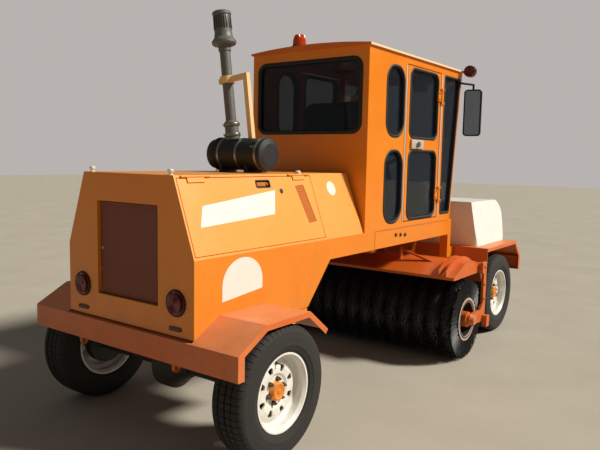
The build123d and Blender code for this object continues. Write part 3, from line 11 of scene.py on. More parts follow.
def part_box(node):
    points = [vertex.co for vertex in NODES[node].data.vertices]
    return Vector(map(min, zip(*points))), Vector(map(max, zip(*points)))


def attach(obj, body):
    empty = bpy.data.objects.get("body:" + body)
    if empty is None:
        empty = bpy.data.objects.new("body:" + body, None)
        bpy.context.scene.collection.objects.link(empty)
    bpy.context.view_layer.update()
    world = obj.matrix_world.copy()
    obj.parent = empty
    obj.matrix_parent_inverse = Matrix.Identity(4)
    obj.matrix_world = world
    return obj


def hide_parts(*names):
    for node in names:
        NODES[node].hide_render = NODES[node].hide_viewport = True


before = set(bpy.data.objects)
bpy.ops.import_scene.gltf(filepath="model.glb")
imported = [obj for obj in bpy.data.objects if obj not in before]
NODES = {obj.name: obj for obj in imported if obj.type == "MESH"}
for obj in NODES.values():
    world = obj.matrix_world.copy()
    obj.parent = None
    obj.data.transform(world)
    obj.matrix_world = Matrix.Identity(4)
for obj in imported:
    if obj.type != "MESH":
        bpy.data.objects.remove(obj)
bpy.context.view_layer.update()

bl_info = {
    "name": "Road Broom Dresser",
    "version": (1, 0, 0),
    "blender": (4, 5, 0),
    "location": "3D View > Sidebar > Road Broom",
    "description": "Finishes and fittings of a self-propelled road broom",
    "category": "Object",
}

# The photograph's frame and the camera that it was taken with, from the rear axle
PHOTO_WIDTH = 600
FOCAL_PIXELS = 630.056
SENSOR_MM = 36.0
CAMERA_FROM_AXLE = Vector((-2.46, -2.674, 1.535))
CAMERA_YAW = radians(36.143)
CAMERA_PITCH = radians(-5.999)
CAMERA_ROLL = radians(1.098)

# The light: the key comes from ahead of the right flank and well up, so the rear face stands in its own shade
SUN_FROM = Vector((0.45, -0.75, 0.75))
SUN_WIDTH = radians(9)
SUN_COLOUR = (1.0, 0.95, 0.86)
SKY_COLOUR = "#F0EAE6"
FLOOR_SIZE = 80
FLOOR_STAIN = "#A9A395"


def linear(colour):
    """An sRGB hex colour as the linear RGBA that a shader takes."""
    channels = [int(colour[i:i + 2], 16) / 255 for i in (1, 3, 5)]
    return tuple(c / 12.92 if c <= 0.04045 else ((c + 0.055) / 1.055) ** 2.4 for c in channels) + (1.0,)


def add(tree, kind, inputs=None, **settings):
    """Adds a node to a tree, sets its properties, and fills or links its sockets."""
    node = tree.nodes.new(kind)
    for name, value in settings.items():
        setattr(node, name, value)
    for socket, value in (inputs or {}).items():
        if isinstance(value, bpy.types.NodeSocket):
            tree.links.new(value, node.inputs[socket])
        else:
            node.inputs[socket].default_value = value
    return node


def surface(name, inputs):
    """A new material with one Principled shader, and the tree to build its patterns in."""
    material = bpy.data.materials.new(name)
    material.use_nodes = True
    tree = material.node_tree
    tree.nodes.clear()
    shader = add(tree, "ShaderNodeBsdfPrincipled", inputs)
    add(tree, "ShaderNodeOutputMaterial", {"Surface": shader.outputs[0]})
    return material, tree, shader


def stretched(tree, value, low, high, first=0.0, last=1.0):
    """A value between two levels, stretched to run from a first to a last."""
    levels = {"Value": value, "From Min": low, "From Max": high, "To Min": first, "To Max": last}
    return add(tree, "ShaderNodeMapRange", levels).outputs[0]


def worked(tree, operation, *values):
    """One operation of the Math node on sockets or numbers."""
    return add(tree, "ShaderNodeMath", dict(enumerate(values)), operation=operation).outputs[0]


def mottled(tree, scale, low, high, detail=5.0):
    """Noise at a scale per metre, stretched between two levels, in the object's own frame."""
    place = add(tree, "ShaderNodeTexCoord").outputs["Object"]
    inputs = {"Vector": place, "Scale": scale, "Detail": detail, "Roughness": 0.6}
    return stretched(tree, add(tree, "ShaderNodeTexNoise", inputs).outputs[0], low, high)


def blended(tree, share, first, second):
    """Two colours mixed by a share; each is a hex value or a socket."""
    a, b = (linear(c) if isinstance(c, str) else c for c in (first, second))
    return add(tree, "ShaderNodeMix", {0: share, 6: a, 7: b}, data_type="RGBA").outputs[2]


def low_down(tree, bottom, top):
    """1 at a height in metres and below, 0 at a second height and above."""
    place = add(tree, "ShaderNodeTexCoord").outputs["Object"]
    z = add(tree, "ShaderNodeSeparateXYZ", {0: place}).outputs[2]
    return stretched(tree, z, bottom, top, 1.0, 0.0)


def painted_sun_share(tree, edges):
    """Where the sun's light is painted: 1 where a panel's own face looks up, and by a share where it looks
    sideways.
    """
    normal = add(tree, "ShaderNodeTexCoord").outputs["Normal"]
    parts = add(tree, "ShaderNodeSeparateXYZ", {0: normal}).outputs
    sideways = worked(tree, "MULTIPLY", worked(tree, "ABSOLUTE", parts[1]), edges)
    return stretched(tree, worked(tree, "MAXIMUM", sideways, parts[2]), 0.15, 0.33)


def bumped(tree, shader, height, distance):
    """Gives a shader a bump of a real depth in metres from a height between 0 and 1."""
    bump = add(tree, "ShaderNodeBump", {"Height": height, "Distance": distance, "Strength": 1.0})
    tree.links.new(bump.outputs[0], shader.inputs["Normal"])


# Patches, specks and dust on the paint, as noise per metre, and the heights between which dust fades
PATCH_SCALE = 2.2
SPECK_SCALE = 45.0
DUST_SCALE = 9.0
DUST_HEIGHTS = (0.35, 1.25)
# Orange peel is 2 mm from crest to crest; wire cloth has a wire every 5 mm
PEEL_SCALE = 500.0
PEEL_DEPTH = 0.00006
WIRE_PITCH = 0.005
WIRE_DEPTH = 0.0008
# A wave texture's bands repeat every 0.314 m at a scale of 1
WAVE_PERIOD = 0.314


def enamel(name, colour, faded, dirt, roughness, coat, painted_sunlit=None, edges=0.0):
    """Sprayed alkyd enamel: patchy, dusty low down, painted lighter as sunlit where it faces up, with orange
    peel.
    """
    material, tree, shader = surface(name, {"IOR": 1.5, "Coat Weight": coat, "Coat Roughness": 0.15})
    patches = mottled(tree, PATCH_SCALE, 0.35, 0.75)
    specks = mottled(tree, SPECK_SCALE, 0.62, 0.74)
    dust = mottled(tree, DUST_SCALE, 0.3, 0.75)
    dust = worked(tree, "MULTIPLY", dust, low_down(tree, *DUST_HEIGHTS))
    tone = blended(tree, patches, colour, faded)
    # faces that look up, and on the roof its sides, are painted lighter as a painted highlight of the sun
    if painted_sunlit:
        tone = blended(tree, painted_sun_share(tree, edges), tone, painted_sunlit)
    for layer, share in ((specks, 0.35), (dust, 0.45)):
        tone = blended(tree, worked(tree, "MULTIPLY", layer, share), tone, dirt)
    tree.links.new(tone, shader.inputs["Base Color"])
    rough = stretched(tree, patches, 0.0, 1.0, roughness, roughness + 0.14)
    tree.links.new(rough, shader.inputs["Roughness"])
    bumped(tree, shader, mottled(tree, PEEL_SCALE, 0.3, 0.7, 1.0), PEEL_DEPTH)
    return material


def grained(name, colour, second, scale, roughness, metallic=0.0, ior=1.5, depth=0.0001):
    """A moulded, cast or drawn surface: two close tones at one grain size, with that grain in relief."""
    fixed = {"Roughness": roughness, "Metallic": metallic}
    if metallic == 0.0:
        fixed["IOR"] = ior
    material, tree, shader = surface(name, fixed)
    grain = mottled(tree, scale, 0.3, 0.7)
    tree.links.new(blended(tree, grain, colour, second), shader.inputs["Base Color"])
    bumped(tree, shader, grain, depth)
    return material


def woven(name, wire, gap, roughness):
    """Enamelled wire cloth: bright wires, and gaps painted dark as the shade behind the cloth, which blend to
    one even brown from afar.
    """
    material, tree, shader = surface(name, {"Roughness": roughness, "IOR": 1.5})
    waves = {"Vector": add(tree, "ShaderNodeTexCoord").outputs["Object"], "Scale": WAVE_PERIOD / WIRE_PITCH}
    bands = [add(tree, "ShaderNodeTexWave", waves, bands_direction=way).outputs["Fac"] for way in "YZ"]
    weave = worked(tree, "MAXIMUM", *bands)
    tree.links.new(blended(tree, weave, gap, wire), shader.inputs["Base Color"])
    bumped(tree, shader, weave, WIRE_DEPTH)
    return material


def glass(name, tint, share):
    """Toughened glass: each face hides a share of what is behind it under a dark body tint."""
    return surface(name, {"Base Color": linear(tint), "Roughness": 0.03, "IOR": 1.52, "Alpha": share})[0]


def finishes(label):
    """Every finish on the machine, by the name that its nodes ask for."""
    return {
        # The panels: bright and even, with a soft sheen, and painted warm yellow where they face up, as a
        # painted highlight of the sun
        "orange": enamel("alkyd_enamel_orange", "#EA800C", "#EC8A18", "#8A5C30", 0.28, 0.12, "#F0A04A"),
        # The roof's ends keep their orange, and its top and side edges are painted nearly cream as a painted
        # highlight of the sun
        "roof_painted_sun": enamel(
            "alkyd_enamel_roof_painted_sun", "#DC6A0C", "#E07414", "#A88A68", 0.45, 0.05, "#F4D6A8", 1.0),
        # Bumper, deck and motor ends: trodden and dusty, redder and flatter than the panels, with their tops
        # painted lighter as a painted highlight
        "dusty": enamel("alkyd_enamel_trodden", "#DA6420", "#DE8048", "#7A5638", 0.44, 0.08, "#E48A54"),
        # The broom's hood is an older red-orange coat, dulled by what it throws up
        "hood": enamel("alkyd_enamel_red_orange", "#D65C12", "#DA7026", "#5E442E", 0.4, 0.1),
        # The blades of the vents and the latch paddles are a flat ochre-brown, painted darker than the panels
        # as the shade of their sunk recesses
        "recess_shade": enamel("screen_enamel_painted_recess_shade", "#B85C08", "#BC6810", "#7A5636", 0.7, 0.0),
        # The stack's bracket is painted a pale cream that stands for the sun full on it, a painted highlight
        "bracket_painted_sun": enamel("bracket_enamel_painted_sun", "#E6C48C", "#E2B878", "#A08458", 0.55, 0.0),
        # Wheels glow nearly white in the sun, greyed by road film near the rims
        "white": enamel("wheel_enamel_white", "#F2F1EC", "#E6E2D6", "#A79C86", 0.3, 0.3),
        # The rear screen reads as an even dark brown; the dark of its gaps is painted shade
        "mesh": woven("screen_cloth_brown", "#8E4A30", "#4A2618", 0.6),
        # Small dark fittings keep a soft highlight on their edges
        "black": enamel("satin_enamel_black", "#161514", "#201E1C", "#5A5248", 0.42, 0.1),
        # Axles and engine are rough, dark and almost without a highlight
        "cast": grained("cast_iron_painted_grey", "#2C2B29", "#3A3733", 220.0, 0.62, depth=0.0004),
        # Rods shine in one bright line along their length
        "steel": grained("turned_steel", "#9A9A98", "#83827E", 400.0, 0.28, metallic=1.0, depth=0.00003),
        # Tyres are a matt warm black, a little dusty
        "rubber": grained("tyre_rubber", "#1F1D1B", "#2C2925", 90.0, 0.82, depth=0.0003),
        # The canister and the console are a cool black with a dull, wide sheen
        "plastic": grained("moulded_polypropylene_black", "#17171A", "#1F1F22", 300.0, 0.58, depth=0.00004),
        # The brush is nearly black, and its tips catch a thin grey light
        "bristle": grained("polypropylene_bristle_black", "#131315", "#242426", 40.0, 0.5),
        # The tank and the visor are smooth and milky
        "tank": grained(
            "rotomoulded_polyethylene_white", "#EFEEE8", "#E8E6DE", 6.0, 0.38, ior=1.51, depth=0.0002),
        # The stack is a plain dull grey
        "pipe": grained("aluminised_steel_pipe", "#6E6D6A", "#565450", 80.0, 0.5),
        # Windows darken what is behind them and mirror the sky
        "glass": glass("toughened_glass_tinted", "#0D1A24", 0.58),
        # Red and amber lenses are deep in colour, with sharp highlights on their ribs
        "red": grained("acrylic_lens_red", "#5A0A08", "#6E100C", 120.0, 0.12, ior=1.49),
        "amber": grained("acrylic_lens_amber", "#B8380C", "#C8460F", 120.0, 0.12, ior=1.49),
        # The head lamps' lenses are a pale bright grey
        "lens": grained("polycarbonate_lens_clear", "#B9BDBD", "#9EA3A3", 120.0, 0.08, ior=1.58),
        # Gaskets draw a soft black line round the glass
        "gasket": grained("epdm_rubber_black", "#131314", "#1D1D1E", 260.0, 0.62),
        # Clean screws and clamps glint in small points
        "zinc": grained("zinc_plated_steel", "#A3A39B", "#8C8A80", 350.0, 0.36, metallic=1.0, depth=0.00003),
        # Studs of bright steel, painted near-white as a painted glint of the sun, so that they read as white
        # points
        "studs": grained(
            "bright_steel_painted_glint", "#E8E2D4", "#D6D0C2", 300.0, 0.35, metallic=0.2, depth=0.00003),
        # Pale strips that frame the door with a soft grey line
        "trim": grained(
            "anodised_aluminium_trim", "#C9C2B4", "#B9B2A4", 180.0, 0.55, metallic=0.3, depth=0.00003),
        # The brush core's ends, rubbed by grit to a dull pinkish grey
        "worn": grained("mild_steel_grit_worn", "#C4B0A4", "#A8968A", 60.0, 0.6, metallic=0.2, depth=0.0002),
        # Weathered fasteners: dull, dark and brownish, so they don't glint
        "dulled": grained("mild_steel_weathered", "#5A4E42", "#6C5A48", 260.0, 0.65, metallic=0.6),
        # Bare labels are flat, even and paler than the paint
        "label": grained("vinyl_film_white", label, "#E4DFD4", 8.0, 0.42, depth=0.00002),
        # The mirrors' glass gives back the sky without a tint
        "silvered": grained(
            "silvered_mirror_glass", "#C9CDCF", "#C1C6C9", 8.0, 0.04, metallic=1.0, depth=0.0),
        # The seat is black with a leathery grain
        "vinyl": grained("embossed_vinyl_black", "#1A1A1B", "#232324", 700.0, 0.55, depth=0.0003),
    }


STOCK = {}


def stock(finish):
    """The finish of that name, made with all the others the first time that it is asked for."""
    if not STOCK:
        STOCK.update(finishes(bpy.context.scene.broom_labels.colour))
    return STOCK[finish]


WHEELS = ("rear_left", "rear_right", "front_left", "front_right")
SIDES = ((1, "left"), (-1, "right"))

FINISH_OF = {
    "orange": [
        "chassis_frame", "cross_members", "engine_housing", "side_door_left", "side_door_right",
        "cab_side_left", "cab_side_right", "door_left", "door_right", "cab_rear_wall", "cab_front",
        "swing_frame",
    ],
    "roof_painted_sun": ["cab_roof"],
    "dusty": ["rear_bumper", "front_deck"],
    "hood": ["broom_head"],
    "bracket_painted_sun": ["stack_bracket"],
    "white": ["rim_" + name for name in WHEELS],
    "mesh": ["grille_door"],
    "black": ["cab_floor", "lift_barrel", "mirrors"],
    "cast": ["rear_axle", "front_axle", "knuckle_left", "knuckle_right", "engine"],
    "steel": ["tie_rod", "swing_rod", "lift_rod"],
    "rubber": ["tyre_" + name for name in WHEELS],
    "plastic": ["air_cleaner", "console"],
    "bristle": ["brush_reel"],
    "tank": ["water_tank", "sun_visor"],
    "pipe": ["intake_stack"],
    "glass": ["cab_glass", "door_glass_left", "door_glass_right"],
    "red": ["tail_lamps", "corner_lamps"],
    "amber": ["roof_beacon"],
    "lens": ["head_lamps"],
    "vinyl": ["seat"],
}


# Places on the machine that the pieces below sit on, in metres
BODY_Y = 0.505
RAIL_TOP = 1.036
HOUSING_REAR = -2.035
HOUSING_TOP = 1.443
HOUSING_TOP_Y = 0.358
SIDE_DOOR_REAR = -2.023
SCREEN_X = -2.015
CAB_REAR = -0.43
CAB_FRONT = 1.01
CAB_LEAN = 0.15
CAB_SKIN = 0.04
EAVE = 2.3
HINGE_HEIGHTS = (1.264, 2.059)
MIRROR_X = 1.217
MIRROR_Y = 0.59
MIRROR_GAUGE = 0.034
MIRROR_YAW = radians(12)
CANISTER = Vector((-1.13, 0, 1.557))
STACK_LEAN = radians(7.5)
ARM_Y = 0.928
FLANK = Vector((0, HOUSING_TOP_Y - BODY_Y, HOUSING_TOP - RAIL_TOP))
FLANK_LENGTH = FLANK.length
X, Y, Z = Vector((1, 0, 0)), Vector((0, 1, 0)), Vector((0, 0, 1))

# How far a tuft's own width is drawn in, to stay inside the reel's radius
TUFT_TRIM = 0.0004
# Place across a wafer, lean and shift round it, in steps, of each row of tufts
ROWS = ((0.12, -1, 0.5), (0.28, -0.6, 0), (0.42, -0.2, 0.5), (0.58, 0.2, 0), (0.72, 0.6, 0.5), (0.88, 1, 0))

# middle x, middle z, width, height, corner radius of the lights in a cab side and in a cab door
SIDE_LIGHTS = [(-0.0425, 1.9593, 0.255, 0.4905, 0.105), (-0.0425, 1.3448, 0.255, 0.5135, 0.105)]
DOOR_LIGHTS = [(0.435, 1.9673, 0.484, 0.5055, 0.06), (0.435, 1.3528, 0.484, 0.5135, 0.06)]

# Where the sewn channels run across a cushion and half their width, as shares of its length
CHANNELS = (0.3, 0.5, 0.7)
CHANNEL_HALF = 0.022


class Shape:
    """Collects the faces of one piece before it becomes an object."""

    def __init__(self):
        self.points, self.faces = [], []

    def grid(self, rows, around=False, across=False, caps=False):
        """Joins rows of points with quads; around closes last row to first, across closes each row."""
        start, width = len(self.points), len(rows[0])
        for row in rows:
            self.points += [tuple(point) for point in row]
        for r in range(len(rows) if around else len(rows) - 1):
            low, high = start + r * width, start + (r + 1) % len(rows) * width
            for c in range(width if across else width - 1):
                d = (c + 1) % width
                self.faces.append((low + c, low + d, high + d, high + c))
        if caps:
            last = start + (len(rows) - 1) * width
            self.faces.append(tuple(range(start + width - 1, start - 1, -1)))
            self.faces.append(tuple(range(last, last + width)))
        return self

    def spin(self, outline, centre, axis, steps=32):
        """Turns an outline of (distance along, radius) points once round an axis."""
        along = Vector(axis).normalized()
        side = along.orthogonal().normalized()
        up = along.cross(side)
        rows = []
        for k in range(steps):
            out = side * cos(2 * pi * k / steps) + up * sin(2 * pi * k / steps)
            rows.append([Vector(centre) + along * a + out * r for a, r in outline])
        return self.grid(rows, around=True)

    def sweep(self, path, profile, normal):
        """Runs a closed profile of (outwards, proud) points round a closed path in a plane."""
        normal = Vector(normal).normalized()
        rows = []
        for k, point in enumerate(path):
            before = (point - path[k - 1]).normalized()
            after = (path[(k + 1) % len(path)] - point).normalized()
            mean = (before + after).normalized()
            out = mean.cross(normal) / max(mean.dot(after), 0.3)
            rows.append([point + out * a + normal * b for a, b in profile])
        return self.grid(rows, around=True, across=True)

    def prism(self, outline, depth):
        """Closes an outline of points and its copy, moved by a depth, into a solid."""
        shifted = [point + Vector(depth) for point in outline]
        return self.grid([list(outline), shifted], across=True, caps=True)

    def plate(self, middle, across, up, width, height, radius, depth, steps=4):
        """Adds a rectangular plate with rounded corners."""
        return self.prism(ring_path(middle, across, up, width, height, radius, steps), depth)

    def tuft(self, root, tip, feet, share, out):
        """Adds a three-sided tuft that narrows from its feet to a share of them at its tip."""
        start = len(self.points)
        ends = [tip + (foot - root) * share - out * TUFT_TRIM for foot in feet]
        self.points += [tuple(point) for point in feet + ends]
        for i, j in ((0, 1), (1, 2), (2, 0)):
            self.faces.append((start + i, start + j, start + 3 + j, start + 3 + i))
        self.faces.append((start + 3, start + 4, start + 5))

    def piece(self, name, finish, slot, body="machine", bevel=0.0, sharp=35, replaces=()):
        """Makes the object, rides it on its body and gives it its finish; its record slot is not used."""
        mesh = bpy.data.meshes.new(name)
        mesh.from_pydata(self.points, [], self.faces)
        form = bmesh.new()
        form.from_mesh(mesh)
        bmesh.ops.remove_doubles(form, verts=form.verts, dist=1e-6)
        bmesh.ops.dissolve_degenerate(form, edges=form.edges, dist=1e-6)
        bmesh.ops.recalc_face_normals(form, faces=form.faces)
        if bevel:
            edges = [e for e in form.edges if len(e.link_faces) == 2 and e.calc_face_angle() > radians(40)]
            bmesh.ops.bevel(
                form, geom=edges, offset=bevel, segments=2, profile=0.5, affect="EDGES", clamp_overlap=True)
        form.to_mesh(mesh)
        form.free()
        mesh.shade_smooth()
        mesh.set_sharp_from_angle(angle=radians(sharp))
        thing = bpy.data.objects.new(name, mesh)
        bpy.context.collection.objects.link(thing)
        mesh.materials.append(stock(finish))
        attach(thing, body)
        if replaces:
            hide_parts(*replaces)
        return thing


def ring_path(middle, across, up, width, height, radius, steps=8):
    """Points round a rounded rectangle, counter-clockwise seen against across x up."""
    path = []
    for cx, cy, turn in ((1, 1, 0), (-1, 1, 90), (-1, -1, 180), (1, -1, 270)):
        centre = middle + across * cx * (width / 2 - radius) + up * cy * (height / 2 - radius)
        for k in range(steps + 1):
            angle = radians(turn + 90 * k / steps)
            path.append(centre + (across * cos(angle) + up * sin(angle)) * radius)
    return path


def eased(corners, radius, steps=5):
    """A polygon's points with each corner rounded."""
    path = []
    for k, corner in enumerate(corners):
        a = corner + (corners[k - 1] - corner).normalized() * radius
        b = corner + (corners[(k + 1) % len(corners)] - corner).normalized() * radius
        for s in range(steps + 1):
            t = s / steps
            path.append(a * (1 - t) ** 2 + corner * 2 * t * (1 - t) + b * t ** 2)
    return path


def on_flank(x, up, side, proud=0.0):
    """A point on a sloping flank from its station and its distance up the slope."""
    slope = Vector((0, FLANK.y * side, FLANK.z)) / FLANK_LENGTH
    out = Vector((0, FLANK.z * side, -FLANK.y)) / FLANK_LENGTH
    return Vector((x, BODY_Y * side, RAIL_TOP)) + slope * up + out * proud


def radial(angle):
    """The way out from a crosswise axis at an angle, and the way round it."""
    out = Vector((cos(angle), 0, sin(angle)))
    return out, Vector((-out.z, 0, out.x))


def mm(*points):
    """Points given in millimetres, turned to metres."""
    return [tuple(value / 1000 for value in point) for point in points]


def ribs(count, crest, valley, width=0.0022, fall=0.0):
    """The rings of a lens from its middle out, as points of (distance along, radius)."""
    radii = [0.004 + 0.005 * k for k in range(count)]
    return [point for r in radii for point in ((crest - r * fall, r), (valley - r * fall, r + width))]


def bolt(shape, place, axis, flats=0.017, height=0.008):
    """Adds a hexagon head with a washer and a chamfered top."""
    along = Vector(axis).normalized()
    washer = 0.0018
    shape.spin([(0, 0), (0, flats * 0.82), (washer, flats * 0.82), (washer, 0)], place, along, 16)
    radius = flats / 2 / cos(pi / 6)
    rise = washer + height
    head = [(washer, 0), (washer, radius), (rise * 0.86, radius), (rise, radius * 0.84), (rise, 0)]
    shape.spin(head, place, along, 6)


class TyreSettings(PropertyGroup):
    blocks: IntProperty(name="Tread pitches", description="Tread blocks round each tyre", default=60, min=20)
    sipe: FloatProperty(
        name="Sipe depth", description="Depth of the cuts across the ribs", default=0.004, min=0,
        unit="LENGTH")
    groove: FloatProperty(
        name="Groove depth", description="Depth of the grooves round the tread", default=0.009, min=0,
        unit="LENGTH")


class BROOM_OT_tyres(Operator):
    """Moulds the four road tyres with ribs, zigzag grooves, sipes and banded sidewalls"""
    bl_idname = "broom.tyres"
    bl_label = "Tyres"

    def execute(self, context):
        settings = context.scene.broom_tyres
        crown = 0.35
        zigzag = 0.0022
        groove, sipe = crown - settings.groove, crown - settings.sipe
        # distance from the middle, radius, share of the zigzag, radius at a sipe
        tread = [
            (0.000, groove, 0, groove), (0.0045, groove, 1, groove), (0.007, crown, 1, sipe),
            (0.034, crown, 1, sipe), (0.0365, groove, 1, groove), (0.0435, groove, -1, groove),
            (0.046, crown - 0.0004, -1, sipe), (0.064, crown - 0.0015, 0, sipe),
            (0.078, crown - 0.0045, 0, sipe - 0.0045), (0.086, crown - 0.01, 0, crown - 0.015),
            (0.094, 0.331, 0, 0.328),
        ]
        wall = mm(
            (98.5, 320), (100.5, 316), (100.5, 312), (105, 290), (107.2, 272), (106, 254), (106.4, 252.5),
            (105, 243), (103, 241.5), (98.5, 228), (95, 218.5), (91.5, 216.5), (89, 208), (79, 208),
            (76.5, 190.5))
        half = tread + [(y, r, 0, r) for y, r in wall]
        profile = [(-y, r, zig, cut) for y, r, zig, cut in reversed(half[1:])] + half
        for name in WHEELS:
            low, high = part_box("tyre_" + name)
            centre = (low + high) / 2
            rows = []
            for pitch in range(settings.blocks):
                for share, at_sipe in ((0.0, 0), (0.035, 1), (0.1, 1), (0.135, 0), (0.55, 0)):
                    angle = 2 * pi * (pitch + share) / settings.blocks
                    sway = zigzag if at_sipe else -zigzag
                    ring = [(cut if at_sipe else r, y + sway * zig) for y, r, zig, cut in profile]
                    rows.append([centre + Vector((r * cos(angle), y, r * sin(angle))) for r, y in ring])
            Shape().grid(rows, around=True).piece(
                "tyre_moulding_" + name, "rubber", "tyre_rubber", "wheel_" + name, sharp=28,
                replaces=["tyre_" + name])
        return {"FINISHED"}


class WheelSettings(PropertyGroup):
    nuts: IntProperty(name="Wheel nuts", description="Nuts round each hub", default=6, min=3)
    circle: FloatProperty(
        name="Nut circle", description="Radius of the circle of nuts", default=0.063, unit="LENGTH")


class BROOM_OT_wheel_trim(Operator):
    """Adds the wheel nuts, the painted hub caps and the valves"""
    bl_idname = "broom.wheel_trim"
    bl_label = "Wheel trim"

    def execute(self, context):
        settings = context.scene.broom_wheels
        disc_depth = 0.058
        for name in WHEELS:
            side = 1 if name.endswith("left") else -1
            low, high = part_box("rim_" + name)
            hub = (low + high) / 2
            hub.y = (high.y if side > 0 else low.y) - side * disc_depth
            axis = Y * side
            nuts = Shape()
            for k in range(settings.nuts):
                place = hub + radial(2 * pi * (k + 0.25) / settings.nuts)[0] * settings.circle
                nuts.spin(mm((0, 0), (0, 13.5), (4, 11.5), (4, 0)), place, axis, 20)
                nut = mm((4, 0), (4, 11.5), (15, 11.5), (17.5, 9), (17.5, 6), (26, 6), (27, 5), (27, 0))
                nuts.spin(nut, place, axis, 6)
            valve = hub + Vector((0, 0, 0.146)) + axis * 0.004
            nuts.spin(mm((0, 0), (0, 8), (12, 6), (14, 4), (32, 4), (34, 3), (34, 0)), valve, axis, 14)
            nuts.piece("wheel_nuts_" + name, "dulled", "bare_steel", "wheel_" + name)
            cap = Shape().spin(mm(
                (0.5, 0), (0.5, 50.5), (4, 51.2), (8, 49), (26, 46.2), (29, 44), (30.2, 38), (28.5, 35),
                (28.5, 14), (31.5, 12), (32.5, 6), (32.5, 0)), hub, axis, 40)
            cap.piece("hub_cap_" + name, "orange", "orange_paint", "wheel_" + name)
        return {"FINISHED"}


class BrushSettings(PropertyGroup):
    wafers: IntProperty(
        name="Wafers", description="Bristle wafers stacked along the brush", default=15, min=4)
    tufts: IntProperty(name="Tufts", description="Tufts round each row of a wafer", default=176, min=24)
    tuft: FloatProperty(
        name="Tuft width", description="Width of one tuft at its root", default=0.009, min=0.001,
        unit="LENGTH")


class BROOM_OT_brush(Operator):
    """Builds the convoluted bristle wafers on their steel core"""
    bl_idname = "broom.brush"
    bl_label = "Brush"

    def execute(self, context):
        settings = context.scene.broom_brush
        rng = random.Random(7)
        low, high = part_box("brush_reel")
        centre = (low + high) / 2
        reach = (high.y - low.y) / 2 - 0.01
        pitch = 2 * reach / settings.wafers
        full = (high.z - low.z) / 2
        w = settings.tuft / 2
        snake = 0.011
        body = Shape()
        outline = [(-reach, 0.15)]
        for k in range(settings.wafers):
            y = -reach + k * pitch
            crest = ((0.02, 0.08), (0.3, 0.03), (0.7, 0.03), (0.98, 0.08))
            outline += [(y + pitch * share, full - short) for share, short in crest]
        body.spin(outline + [(reach, 0.15)], centre, Y, 72)
        for k in range(settings.wafers):
            # the outer row of each end wafer keeps its full length and stands ragged
            outermost = {0: -1, settings.wafers - 1: 1}.get(k)
            for row, lean, shift in ROWS:
                for t in range(settings.tufts):
                    angle = 2 * pi * (t + shift + rng.uniform(-0.35, 0.35)) / settings.tufts
                    # each wafer snakes from side to side eight times round
                    y = -reach + (k + row) * pitch + snake * sin(8 * angle + k)
                    out, round_way = radial(angle)
                    root = centre + out * (full - 0.085) + Y * (y - lean * 0.006 + rng.uniform(-0.002, 0.002))
                    splay = lean * 0.007 + rng.gauss(0, 0.0045)
                    tip_y = max(-reach - 0.006, min(reach + 0.006, y + splay))
                    tip_out = radial(angle + rng.gauss(0, 0.018))[0]
                    curl = 0 if lean == outermost else 0.026 * lean ** 2
                    tip = centre + tip_out * (full - TUFT_TRIM - abs(rng.gauss(0, 0.005)) - curl) + Y * tip_y
                    feet = [root + round_way * w]
                    feet += [root + Y * way * w * 1.2 - round_way * w * 0.6 for way in (1, -1)]
                    body.tuft(root, tip, feet, 0.4, out)
        for side in (-1, 1):
            # loose tufts that lie fanned out over the two end wafers
            loose = settings.tufts * 3
            for t in range(loose):
                out, round_way = radial(2 * pi * (t + rng.uniform(-0.4, 0.4)) / loose)
                root = centre + out * rng.uniform(0.17, full - 0.06) + Y * side * (reach - 0.001)
                tip = centre + out * (full - 0.002 - abs(rng.gauss(0, 0.01)))
                tip += round_way * rng.gauss(0, 0.008)
                tip += Y * side * (reach + rng.uniform(0.0, 0.007))
                feet = [root + round_way * w, root + Y * side * 0.006, root - round_way * w]
                body.tuft(root, tip, feet, 0.3, out)
        body.piece("bristle_wafers", "bristle", "bristle", "brush_reel", sharp=60, replaces=["brush_reel"])
        core, lips = Shape(), Shape()
        for side in (-1, 1):
            axis = Y * side
            end = centre + axis * (reach + 0.01)
            lips.spin(mm((-10, 140), (-2, 168), (0, 167), (0, 136.5), (-10, 136.5)), end, axis, 64)
            # A rolled tube with a clamp flange, and the drive plate that stands deep inside it
            tube = mm((-100, 140), (0, 140), (0, 150), (-12, 150), (-12, 172), (-18, 174), (-20, 150))
            core.spin(tube, end, axis, 64)
            core.spin(mm(
                (-128, 25.5), (-102, 25.5), (-102, 60), (-108, 64), (-108, 141), (-128, 141)), end, axis, 64)
            for k in range(6):
                out = radial(2 * pi * (k + 0.5) / 6)[0]
                bolt(core, end - axis * 0.108 + out * 0.1, axis, 0.019, 0.01)
        core.piece("brush_core", "cast", "cast_grey", "brush_reel")
        lips.piece("brush_core_lips", "worn", "bare_steel", "brush_reel", bevel=0.0008)
        return {"FINISHED"}


class GasketSettings(PropertyGroup):
    width: FloatProperty(
        name="Gasket width", description="Width of rubber that shows on the sheet", default=0.014, min=0.002,
        unit="LENGTH")
    proud: FloatProperty(
        name="Gasket height", description="How far the rubber stands off the sheet", default=0.005, min=0.001,
        unit="LENGTH")


